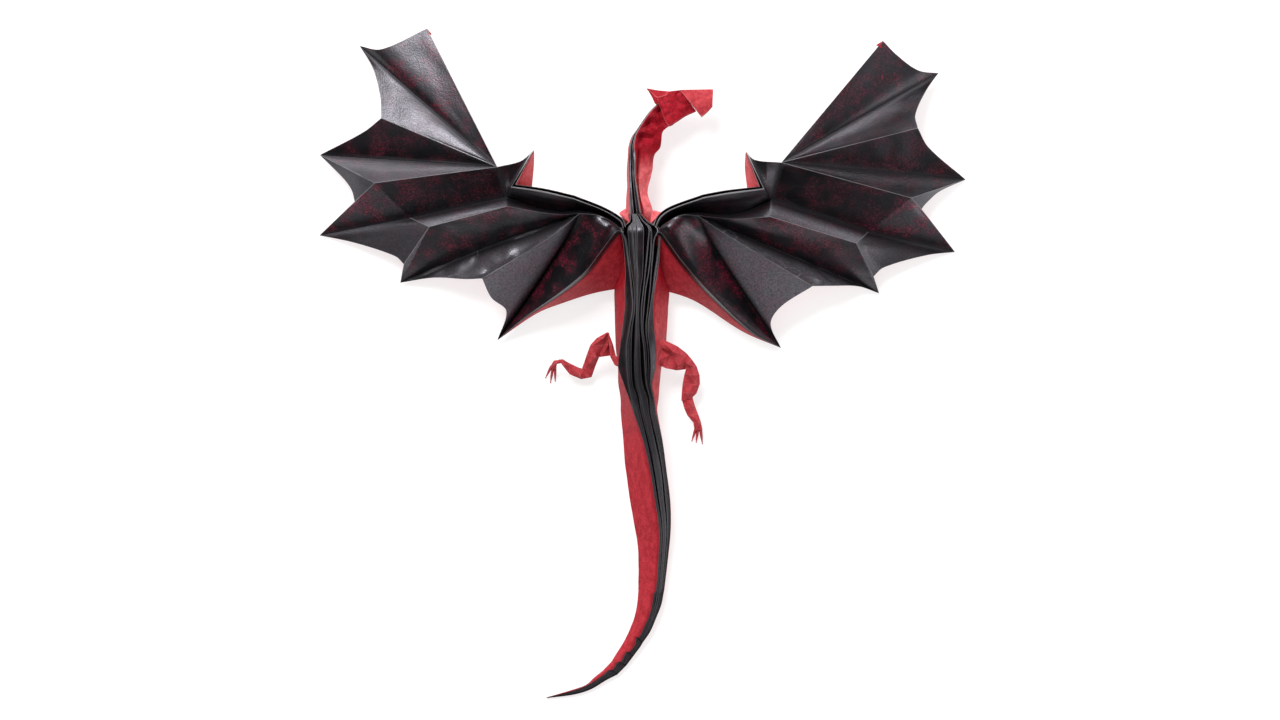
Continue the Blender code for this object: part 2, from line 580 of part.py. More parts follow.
def fuse(base, helpers):
    """Makes the folds one solid with one union."""
    collection = bpy.context.scene.collection
    collection.objects.link(base)
    folds = bpy.data.collections.new("folds")
    collection.children.link(folds)
    for helper in helpers:
        folds.objects.link(helper)
    union = base.modifiers.new("folds", "BOOLEAN")
    union.operation = "UNION"
    union.operand_type = "COLLECTION"
    union.collection = folds
    union.solver = "EXACT"
    union.material_mode = "TRANSFER"
    whole = bmesh.new()
    whole.from_object(base, bpy.context.evaluated_depsgraph_get())
    base.modifiers.remove(union)
    bmesh.ops.triangulate(whole, faces=whole.faces)
    bmesh.ops.dissolve_degenerate(whole, edges=whole.edges, dist=SLIVER)
    largest_shell(whole)
    whole.to_mesh(base.data)
    whole.free()
    for helper in helpers:
        bpy.data.objects.remove(helper)
    bpy.data.collections.remove(folds)


def centre_on_base(base, helpers):
    """Moves everything so that the origin is under the middle of the whole object."""
    corners = [v.co for part in (base, *helpers) for v in part.data.vertices]
    low = Vector([min(c[i] for c in corners) for i in range(3)])
    high = Vector([max(c[i] for c in corners) for i in range(3)])
    shift = Vector((-(low.x + high.x) / 2, -(low.y + high.y) / 2, -low.z))
    for part in (base, *helpers):
        for vertex in part.data.vertices:
            vertex.co += shift


def main():
    for old in list(bpy.data.objects):
        bpy.data.objects.remove(old)
    black = paper("black_paper", BLACK_PAPER)
    red = paper("red_paper", RED_PAPER)
    dragon = body(black, red)
    helpers = [
        wing("left_wing", LEFT_WING, LEFT_CURVES, -1, black, red),
        wing("right_wing", RIGHT_WING, RIGHT_CURVES, 1, black, red),
        *head(red),
        *legs(red),
    ]
    centre_on_base(dragon, helpers)
    fuse(dragon, helpers)


main()
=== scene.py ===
# %% [markdown]
# A folded paper dragon
#
# The real object is one square sheet, red on one face and black on the other, folded
# into a dragon that lies on its belly. This lesson builds its skin around the packed
# solid: wings, body, neck, head and legs, each as creased sheets, then the two papers,
# the light and the camera. Everything is measured in millimetres in the tables, with
# +Y towards the head, and turned into metres when a mesh is made.

# %% Load the solid
import math

import bpy
import numpy as np
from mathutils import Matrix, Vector, noise


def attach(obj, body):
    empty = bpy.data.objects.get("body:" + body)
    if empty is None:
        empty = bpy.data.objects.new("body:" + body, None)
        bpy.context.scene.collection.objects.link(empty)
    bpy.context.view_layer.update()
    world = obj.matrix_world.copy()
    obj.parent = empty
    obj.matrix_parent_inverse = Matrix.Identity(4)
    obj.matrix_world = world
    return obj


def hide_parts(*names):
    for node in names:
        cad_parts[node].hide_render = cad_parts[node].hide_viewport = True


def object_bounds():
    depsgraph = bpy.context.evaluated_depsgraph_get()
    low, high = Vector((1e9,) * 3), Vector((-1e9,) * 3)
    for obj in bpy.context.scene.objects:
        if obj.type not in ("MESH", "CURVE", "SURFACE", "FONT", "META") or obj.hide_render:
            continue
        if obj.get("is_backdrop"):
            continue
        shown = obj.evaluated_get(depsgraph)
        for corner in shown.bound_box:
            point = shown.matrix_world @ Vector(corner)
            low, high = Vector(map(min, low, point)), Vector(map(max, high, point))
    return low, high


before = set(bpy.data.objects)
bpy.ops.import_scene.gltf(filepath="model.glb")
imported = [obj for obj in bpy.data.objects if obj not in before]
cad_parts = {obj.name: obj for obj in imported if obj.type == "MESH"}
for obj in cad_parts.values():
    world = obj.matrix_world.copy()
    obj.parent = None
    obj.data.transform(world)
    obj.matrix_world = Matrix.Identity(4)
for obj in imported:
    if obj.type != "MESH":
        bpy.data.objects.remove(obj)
cad_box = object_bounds()
print("solid:", [round(1000 * float(v), 1) for corner in cad_box for v in corner], "mm")

MM = 0.001
NODE = "folded_dragon"
SHIFT = np.array((-1.3, 0.05, 0.0))     # from the spine's line in the tables to the origin
THICKNESS = 0.7                         # of a wing in the solid, measured straight down
SHEET = 0.45                            # thickness of the paper that shows at an edge

# %% [markdown]
# Helpers for meshes
#
# Blender's operators act on whatever is selected, and a freshly loaded solid is
# selected, so each step first picks the pieces that it means. A new mesh can be made
# with operators from a grid, or straight from lists of points and faces where the
# points come out of a calculation.

# %% Pick, merge and finish


def pick(*pieces):
    """Selects only these pieces and makes the first one active."""
    bpy.ops.object.select_all(action="DESELECT")
    for piece in pieces:
        piece.select_set(True)
    bpy.context.view_layer.objects.active = pieces[0]


def in_edit_mode(piece, *steps):
    """Runs edit mode operators on all of one piece."""
    pick(piece)
    bpy.ops.object.mode_set(mode="EDIT")
    bpy.ops.mesh.select_all(action="SELECT")
    for step in steps:
        step()
    bpy.ops.object.mode_set(mode="OBJECT")


def merge(distance):
    """An edit mode step that joins points closer than the distance, in millimetres."""
    return lambda: bpy.ops.mesh.remove_doubles(threshold=distance * MM)


def apply_modifiers(piece):
    """Turns the piece's modifiers into mesh."""
    pick(piece)
    for name in [m.name for m in piece.modifiers]:
        bpy.ops.object.modifier_apply(modifier=name)


def make_piece(name, points, faces, slots=None):
    """A piece from points in millimetres and faces as lists of point numbers."""
    mesh = bpy.data.meshes.new(name)
    mesh.from_pydata([tuple((np.asarray(p) + SHIFT) * MM) for p in points], [], faces)
    if slots is not None:
        mesh.polygons.foreach_set("material_index", slots)
    mesh.update()
    piece = bpy.data.objects.new(name, mesh)
    bpy.context.collection.objects.link(piece)
    return piece


def get_points(piece):
    """The piece's points as an array, in the tables' millimetres."""
    flat = np.empty(3 * len(piece.data.vertices))
    piece.data.vertices.foreach_get("co", flat)
    return flat.reshape(-1, 3) / MM - SHIFT


def put_points(piece, points):
    """Moves the piece's points to new places."""
    piece.data.vertices.foreach_set("co", ((points + SHIFT) * MM).ravel())
    piece.data.update()


def smooth_by_angle(piece, degrees):
    """Shades gentle bends smooth and leaves sharp ones crisp."""
    pick(piece)
    bpy.ops.object.shade_smooth_by_angle(angle=math.radians(degrees))


# %% [markdown]
# Curves and distances
#
# Every crease of the model is a curve between two named corners. The same curve is
# used by the sheets on both sides of the crease, so they meet without a gap. The
# distance from any point to the nearest crease is kept on the mesh as well: the paper's
# finish uses it to draw the pale line along a fold, partly wear and partly painted
# highlight, and the painted shade in a valley, always equally wide.

# %% Curves


def smooth_path(points, shares):
    """Points at the given shares of the length of a smooth curve through the points."""
    points = np.array(points, dtype=float)
    steps = np.linalg.norm(np.diff(points, axis=0), axis=1)
    lengths = np.concatenate(([0.0], np.cumsum(steps)))
    if len(points) == 2 or lengths[-1] == 0.0:
        return points[0] + (points[-1] - points[0]) * np.array(shares)[:, None]
    slopes = np.empty_like(points)
    for i in range(len(points)):
        before, after = max(i - 1, 0), min(i + 1, len(points) - 1)
        slopes[i] = (points[after] - points[before]) / (lengths[after] - lengths[before])
    at = np.array(shares) * lengths[-1]
    k = np.clip(np.searchsorted(lengths, at, side="left"), 1, len(points) - 1)
    span = (lengths[k] - lengths[k - 1])[:, None]
    t = ((at - lengths[k - 1])[:, None]) / span
    return (points[k - 1] * (2 * t**3 - 3 * t**2 + 1)
            + slopes[k - 1] * span * (t**3 - 2 * t**2 + t)
            + points[k] * (3 * t**2 - 2 * t**3)
            + slopes[k] * span * (t**3 - t**2))


# %% Distances and stored numbers


def distance_to(points, lines):
    """Distance from each point to the nearest of some polylines."""
    nearest = np.full(len(points), 99.0)
    if not lines:
        return nearest
    starts = np.concatenate([line[:-1] for line in lines])
    moves = np.concatenate([np.diff(line, axis=0) for line in lines])
    squares = np.maximum((moves**2).sum(axis=1), 1e-9)
    for first in range(0, len(points), 1500):
        some = points[first:first + 1500]
        offset = some[:, None, :] - starts[None]
        share = np.clip((offset * moves).sum(axis=2) / squares, 0, 1)
        gap = offset - share[..., None] * moves
        nearest[first:first + 1500] = np.sqrt((gap**2).sum(axis=2)).min(axis=1)
    return nearest


def keep(piece, name, values):
    """Stores one number for each point of a piece."""
    layer = piece.data.attributes.new(name, "FLOAT", "POINT")
    layer.data.foreach_set("value", np.asarray(values, dtype=np.float32))


def rise(x, width):
    """0 at 0 and 1 from the width on, without a corner."""
    t = np.clip(x / width, 0, 1)
    return t * t * (3 - 2 * t)


# %% [markdown]
# Shader maths
#
# A finish is a small graph of nodes. Written as sums of sockets it reads like the
# formula that it is, so a wire is wrapped in a class that adds a Math node for each
# operator, and one method adds any other node.

# %% Wires


class Wire:
    """A socket that can be used in a sum."""

    def __init__(self, finish, socket):
        self.finish = finish
        self.socket = socket

    def _math(self, operation, *terms):
        return self.finish.add("ShaderNodeMath", {"operation": operation},
                               dict(enumerate(terms)))

    def __add__(self, other):
        return self._math("ADD", self, other)

    def __sub__(self, other):
        return self._math("SUBTRACT", self, other)

    def __rsub__(self, other):
        return self._math("SUBTRACT", other, self)

    def __mul__(self, other):
        return self._math("MULTIPLY", self, other)

    __radd__ = __add__
    __rmul__ = __mul__

    def fade(self, low, high):
        """0 below low, 1 above high, smooth between. Low may be the larger one."""
        if low > high:
            return 1 - self.fade(high, low)
        return self.finish.add("ShaderNodeMapRange", {"interpolation_type": "SMOOTHSTEP"},
                               {"Value": self, "From Min": low, "From Max": high})


# %% Finishes


class Finish:
    """A material whose shader is fed by wires."""

    def __init__(self, name, roughness, tint, level, ior):
        self.material = bpy.data.materials.new(name)
        self.material.use_nodes = True
        self.tree = self.material.node_tree
        self.shader = self.tree.nodes["Principled BSDF"]
        self.shader.inputs["Roughness"].default_value = roughness
        self.shader.inputs["Specular Tint"].default_value = (*tint, 1)
        self.shader.inputs["Specular IOR Level"].default_value = level
        self.shader.inputs["IOR"].default_value = ior
        self.place = self.add("ShaderNodeTexCoord", {}, {}, "Object")

    def add(self, kind, settings, terms, output=0):
        """Adds a node: its settings first, then the values or wires of its sockets."""
        node = self.tree.nodes.new(kind)
        for name, value in settings.items():
            setattr(node, name, value)
        for name, value in terms.items():
            self.feed(node.inputs[name], value)
        return Wire(self, node.outputs[output])

    def feed(self, socket, value):
        """Links a wire to a socket, or sets the socket's own value."""
        if isinstance(value, Wire):
            self.tree.links.new(value.socket, socket)
        else:
            socket.default_value = value

    def stored(self, name):
        """A number kept on the mesh."""
        return self.add("ShaderNodeAttribute", {"attribute_name": name}, {}, "Fac")

    def noise(self, size, detail=2.0, stretch=(1, 1, 1), rough=0.5):
        """Cloudy noise whose patches are about the size, in millimetres."""
        where = self.add("ShaderNodeMapping", {}, {"Vector": self.place, "Scale": stretch})
        return self.add("ShaderNodeTexNoise", {}, {
            "Vector": where, "Scale": 1 / (size * MM), "Detail": detail, "Roughness": rough})

    def bent(self, size, stretch):
        """0 along winding creases that divide the paper into patches of the size."""
        wavy = self.noise(size, 1.0, stretch, 0.4)
        return self.add("ShaderNodeMath", {"operation": "ABSOLUTE"}, {0: wavy - 0.5})

    def mix(self, share, low, high):
        """One colour going over into another."""
        colours = [(*c, 1) if isinstance(c, tuple) else c for c in (low, high)]
        return self.add("ShaderNodeMix", {"data_type": "RGBA"},
                        {0: share, 6: colours[0], 7: colours[1]}, 2)

    def bump(self, height, depth):
        """Relief whose full height is the depth, in millimetres."""
        return self.add("ShaderNodeBump", {}, {
            "Height": height, "Strength": 1.0, "Distance": depth * MM})

    def set(self, name, wire):
        self.feed(self.shader.inputs[name], wire)


# %% [markdown]
# The two papers
#
# The black face is coated and satin: nearly black, but it mirrors the light softly, so
# a panel turned to the light looks lilac grey, and panels that should look lit are also
# painted a lighter lilac grey, a painted sheen that fades out near the valley folds. Red
# pulp shows through it as specks where it was rubbed, along a mountain fold the coat has
# a thin pale line, partly wear and partly painted highlight, crumpled creases get a faint
# painted highlight, and down in a valley fold the colour is painted darkest, which is
# painted shade. The red face is dull and fibrous, painted pale pink where a face should
# look lit, which is painted light, painted darker in its valleys and crumple creases as
# painted shade, and mottled on the cheeks, where the dark mottle is also painted shade.
# An image of paper could be used instead, but layers of noise at the size of the real
# grain stay sharp from near and far, and the numbers kept on the mesh say how much painted
# sheen, painted light and pale fold line each panel gets. Sizes are in millimetres.

# %% Black paper


def black_paper():
    paper = Finish("black_paper", 0.34, (0.93, 0.90, 1.0), 0.9, 1.5)
    grain = paper.noise(0.85, 2.0, rough=0.7).fade(0.30, 0.70)
    cloud = paper.noise(8.0, 3.0)
    fold = paper.stored("mountain")
    valley = paper.stored("valley")
    crumple = paper.stored("crumple")
    # painted sheen: panels that should look lit get a lighter lilac grey in the coat, grainy,
    # fading out near valley folds
    painted_sheen = paper.stored("painted_sheen") * valley.fade(0.4, 8.0) * (0.6 + 0.8 * grain)
    coat = paper.mix(cloud.fade(0.3, 0.7), (0.0022, 0.0018, 0.0022), (0.005, 0.0038, 0.0048))
    base = paper.mix(painted_sheen, coat, (0.105, 0.098, 0.112))
    group = paper.noise(9.0, 2.0).fade(0.38, 0.66) * paper.stored("specks")
    dots = paper.noise(0.85, 1.0, rough=0.8).fade(0.50, 0.63)
    tinted = paper.mix(group * 0.6, base, (0.040, 0.004, 0.010))
    red = paper.mix(group * dots, tinted, (0.29, 0.012, 0.048))
    # painted shade: the colour is painted near black down in valley folds
    valley_shade = paper.mix(valley.fade(2.5, 0.0) * 0.8, red, (0.002, 0.0015, 0.002))
    # a thin pale line along mountain folds: partly worn coat and partly painted highlight of the
    # fold's edge
    line = (fold + 0.05 * (grain - 0.5)).fade(0.22, 0.08)
    wrinkle = paper.bent(24.0, (1.0, 1.5, 1.0))
    # painted highlight: faint pale lines along the creases of crumpled panels
    crease_highlight = wrinkle.fade(0.012, 0.0) * crumple
    wear_and_highlight = paper.stored("wear_and_highlight")
    # pale rims of the arm: partly worn coat and partly painted highlight
    rim_wear_and_highlight = fold.fade(1.3, 0.5) * wear_and_highlight.fade(0.6, 0.95) * (0.35 + 0.5 * cloud)
    worn_and_highlight = line * (0.5 + 0.5 * cloud) * wear_and_highlight + rim_wear_and_highlight + crease_highlight * grain * 0.15
    paper.set("Base Color", paper.mix(worn_and_highlight, valley_shade, (0.48, 0.47, 0.49)))
    paper.set("Roughness", 0.30 + 0.10 * (1 - grain) + 0.12 * line + 0.3 * valley.fade(2.5, 0.0))
    relief = (0.025 * grain + 0.04 * paper.noise(4.0, 2.0)
              + 0.93 * crumple * wrinkle.fade(0.0, 0.2))
    paper.set("Normal", paper.bump(relief, 1.1))
    return paper.material


# %% Red paper


def red_paper():
    paper = Finish("red_paper", 0.62, (1.0, 0.90, 0.90), 0.10, 1.5)
    grain = paper.noise(1.0, 3.0, rough=0.7).fade(0.32, 0.68)
    fibre = paper.noise(2.6, 4.0, (1, 0.6, 1), 0.7)
    fold = paper.stored("mountain")
    valley = paper.stored("valley")
    crumple = paper.stored("crumple")
    # painted light: where a face should look lit, the red is painted over into pale pink
    painted_light = paper.stored("painted_sheen")
    fresh = paper.mix(fibre.fade(0.36, 0.64), (0.25, 0.003, 0.010), (0.36, 0.007, 0.019))
    painted_pink = paper.mix(fibre.fade(0.36, 0.64), (0.66, 0.11, 0.125), (0.80, 0.20, 0.21))
    # a dark mottle: real texture of the paper, and where it is strong, on the cheeks, also
    # painted shade
    mottle = paper.noise(1.8, 2.0, rough=0.8).fade(0.46, 0.66) * paper.stored("specks")
    base = paper.mix(mottle * 0.6, paper.mix(painted_light, fresh, painted_pink), (0.10, 0.006, 0.010))
    speck = paper.mix(grain.fade(0.55, 0.95) * 0.14, base, (0.56, 0.05, 0.065))
    wrinkle = paper.bent(9.0, (1.0, 1.0, 1.0))
    # painted shade: dark lines along the creases of crumpled red paper
    crease_shade = wrinkle.fade(0.016, 0.0) * crumple
    crease_shaded = paper.mix(crease_shade * 0.5, speck, (0.10, 0.003, 0.008))
    # painted shade: the red is painted darker down in valley folds
    valley_shade = paper.mix(valley.fade(3.0, 0.0) * 0.6, crease_shaded, (0.09, 0.002, 0.006))
    # a pale pink line along mountain folds: partly wear and partly painted highlight
    worn_and_highlight = (fold + 0.1 * (grain - 0.5)).fade(0.30, 0.08) * (0.3 + 0.6 * fibre)
    paper.set("Base Color", paper.mix(worn_and_highlight * paper.stored("wear_and_highlight"), valley_shade, (0.72, 0.26, 0.26)))
    paper.set("Roughness", 0.50 + 0.16 * fibre)
    relief = 0.12 * grain + 0.12 * fibre + 0.76 * crumple * wrinkle.fade(0.0, 0.14)
    paper.set("Normal", paper.bump(relief, 0.8))
    return paper.material


black = black_paper()
red = red_paper()
print("finishes:", black.name, "with", len(black.node_tree.nodes), "nodes,", red.name, "with",
      len(red.node_tree.nodes))

# %% [markdown]
# The wings
#
# Each wing is a fan of pleats. Its corners are measured in plan: T are the tips of the
# fingers, M the hollows between them, F and G the places where creases fan out, CT the
# claw, EL the elbow, AG the middle of the raised arm and S the shoulder. W are the feet
# of the arm's outer wall, and X a corner of the first finger that is turned over.
# Heights follow the light: a panel that the photograph shows bright faces the head end,
# a dark one faces away. Shifting a grid by hand would never meet these corners, so the
# corners are listed, and the paper is laid between them.

# %% Corners and creases of the wings
LEFT_WING = {
    "T0": (106.0, 167.0, 14.0), "T1": (140.0, 158.8, 5.0), "T2": (160.0, 104.5, 0.0),
    "T3": (160.2, 64.3, 0.0), "T4": (119.8, 40.6, 1.5), "T5": (71.3, 11.8, 2.5),
    "M1": (128.7, 122.3, 17.0), "M2": (142.3, 81.0, 7.0), "M3": (117.8, 49.8, 8.0),
    "M4": (78.5, 42.5, 18.0),
    "K2": (132.0, 90.0, 17.0), "Q3": (114.5, 72.8, 12.0), "C3": (104.7, 68.2, 21.0),
    "F": (70.7, 97.6, 33.0), "G": (29.8, 74.6, 35.0),
    "J3": (66.0, 83.0, 27.0), "K3": (66.0, 78.0, 33.0),
    "CT": (52.5, 105.8, 42.0), "EL": (63.7, 87.7, 38.5), "AG": (32.8, 81.8, 39.0),
    "S": (8.1, 66.5, 29.5), "VG": (29.8, 76.6, 28.0), "VS": (7.7, 66.2, 26.0),
    "S2": (7.9, 65.0, 28.0), "S3": (6.6, 63.4, 23.0), "B": (5.0, 38.5, 8.0),
    "WT": (52.3, 104.0, 36.0), "WE": (53.7, 87.3, 22.0), "WA": (32.0, 82.6, 20.0),
    "WS": (4.0, 71.0, 20.0), "XA": (103.5, 164.1, 14.6), "XB": (105.6, 163.4, 14.8),
}
LEFT_CURVES = {
    ("T0", "T1"): [(128.7, 156.9, 11.0)],
    ("T1", "M1"): [(133.2, 147.4, 8.0), (129.3, 133.0, 13.0)],
    ("M1", "T2"): [(137.7, 115.6, 11.0)],
    ("T2", "M2"): [(147.7, 92.2, 4.0), (143.8, 86.6, 6.0)],
    ("T3", "M3"): [(142.1, 60.4, 3.5), (122.0, 53.7, 7.5)],
    ("T4", "M4"): [(103.0, 43.0, 8.0), (86.3, 42.2, 15.5)],
    ("M4", "T5"): [(74.0, 33.0, 16.5), (66.6, 26.4, 12.5)],
    ("G", "T4"): [(40.0, 71.0, 28.0), (75.2, 58.7, 14.0), (97.5, 49.8, 7.0)],
    ("G", "M4"): [(43.9, 63.2, 30.0)],
    ("G", "T5"): [(38.0, 60.0, 22.0), (55.0, 34.0, 9.0)],
    ("S2", "T5"): [(11.2, 66.0, 34.0), (17.8, 57.8, 33.0), (26.5, 46.4, 29.5),
                   (37.9, 36.8, 25.0), (57.0, 23.4, 13.0)],
    ("S3", "T5"): [(10.0, 64.4, 30.0), (16.5, 56.8, 29.0), (25.3, 45.4, 25.8),
                   (37.1, 35.8, 21.8), (56.8, 23.0, 12.0)],
    ("B", "T5"): [(22.6, 35.4, 6.0), (37.9, 30.6, 5.0), (51.3, 25.3, 4.0)],
    ("F", "CT"): [(59.0, 100.4, 37.0)],
    ("EL", "AG"): [(48.2, 85.4, 39.0)],
    ("AG", "S"): [(18.1, 76.0, 37.5), (9.7, 70.8, 35.5)],
    ("K3", "G"): [(40.0, 74.0, 34.0)],
    ("G", "S2"): [(20.0, 73.4, 35.0), (12.0, 69.0, 34.5)],
    ("J3", "VG"): [(51.5, 77.7, 26.5), (40.0, 75.6, 27.0)],
    ("VG", "VS"): [(20.0, 75.2, 28.5), (12.0, 70.4, 29.5)],
    ("WT", "WE"): [(52.6, 98.0, 28.0)],
    ("WE", "WA"): [(45.0, 85.0, 21.0)],
    ("WA", "WS"): [(17.0, 76.2, 20.0)],
}
RIGHT_WING = {
    "T0": (120.9, 160.9, 14.0), "T1": (149.0, 145.2, 5.0), "T2": (162.8, 92.2, 0.0),
    "T3": (157.5, 56.0, 0.0), "T4": (119.5, 35.3, 1.5), "T5": (70.4, 8.0, 2.5),
    "M1": (138.2, 117.3, 17.0), "M2": (140.4, 77.2, 8.0), "M3": (116.5, 43.7, 8.0),
    "M4": (85.8, 38.7, 18.0),
    "K2": (135.0, 82.6, 16.0), "Q3": (113.7, 65.8, 12.0), "C3": (107.5, 60.0, 21.0),
    "F": (70.0, 99.8, 33.0), "G": (28.1, 73.6, 35.0),
    "J3": (65.0, 82.0, 27.0), "K3": (64.3, 72.9, 33.0),
    "CT": (52.3, 105.1, 42.0), "EL": (61.3, 86.7, 38.5), "AG": (31.5, 82.3, 39.0),
    "S": (7.6, 67.5, 29.5), "VG": (28.1, 75.8, 28.0), "VS": (7.8, 66.2, 26.0),
    "S2": (8.0, 64.7, 28.0), "S3": (6.8, 63.2, 23.0), "B": (6.0, 37.0, 8.0),
    "WT": (52.1, 103.4, 36.0), "WE": (53.3, 86.4, 22.0), "WA": (31.0, 83.0, 20.0),
    "WS": (4.0, 71.0, 20.0), "XA": (117.4, 158.7, 14.6), "XB": (119.8, 157.4, 14.8),
}
RIGHT_CURVES = {
    ("T0", "T1"): [(128.2, 153.6, 13.0), (138.6, 146.4, 10.0)],
    ("T1", "M1"): [(142.7, 136.3, 8.0), (137.1, 124.0, 14.0)],
    ("M1", "T2"): [(143.8, 107.9, 11.0)],
    ("T2", "M2"): [(149.4, 86.0, 4.0), (142.4, 79.8, 7.0)],
    ("T3", "M3"): [(142.7, 54.2, 3.5), (121.5, 48.1, 7.5)],
    ("T4", "M4"): [(109.2, 38.7, 6.0), (95.8, 38.9, 14.0)],
    ("M4", "T5"): [(70.2, 28.6, 16.5), (65.1, 20.2, 12.0)],
    ("G", "T4"): [(40.0, 68.5, 28.0), (75.2, 54.0, 14.0), (97.5, 44.6, 7.0)],
    ("G", "M4"): [(42.0, 64.6, 31.0)],
    ("G", "T5"): [(37.0, 58.0, 20.0), (54.0, 32.0, 9.0)],
    ("S2", "T5"): [(10.4, 65.2, 34.0), (15.0, 58.8, 33.0), (21.4, 50.1, 30.5),
                   (34.3, 35.8, 25.5), (56.2, 15.4, 11.5)],
    ("S3", "T5"): [(9.3, 63.9, 30.0), (13.8, 57.8, 29.0), (20.2, 49.1, 27.0),
                   (33.4, 34.8, 22.3), (55.9, 15.0, 10.6)],
    ("B", "T5"): [(15.7, 35.6, 7.0), (28.1, 31.0, 5.5), (51.5, 16.0, 4.0)],
    ("F", "CT"): [(56.8, 101.0, 37.5)],
    ("EL", "AG"): [(44.0, 84.6, 39.0)],
    ("AG", "S"): [(15.5, 76.5, 37.5), (10.0, 72.6, 35.5)],
    ("K3", "G"): [(46.0, 71.8, 34.0)],
    ("G", "S2"): [(20.0, 73.6, 35.0), (12.0, 69.0, 34.5)],
    ("J3", "VG"): [(51.5, 75.4, 26.5), (40.0, 74.2, 27.0)],
    ("VG", "VS"): [(20.0, 75.0, 28.5), (12.0, 70.4, 29.5)],
    ("WT", "WE"): [(52.0, 97.0, 28.0)],
    ("WE", "WA"): [(44.0, 85.2, 21.0)],
    ("WA", "WS"): [(14.0, 75.4, 20.0)],
}
print(len(LEFT_WING), "corners and", len(LEFT_CURVES), "curved creases in each wing")

# %% Rims of the arm
RIM_STEP = 0.8          # from one folded rim of the arm to the next
RIM_DROP = 3.0          # depth of the groove between two rims
RIM_WAYS = {"EL": (-1.42, 0.67), "AG": (-0.19, 0.98), "S": (-0.5, 0.87)}

# %% [markdown]
# Panels
#
# A panel is the flat paper between creases, named by its four corners; a repeated
# corner makes a triangle. Beside the corners stand the face of the sheet that is
# up, how much the panel bulges, how crumpled it is, and for each of its corners how
# much red shows through the black as specks and how much painted sheen, a lighter
# grey, the coat gets. On a red panel the last numbers say how far it is painted pale
# pink, which is painted light.

# %% Panels of a wing
BLACK, RED = 0, 1
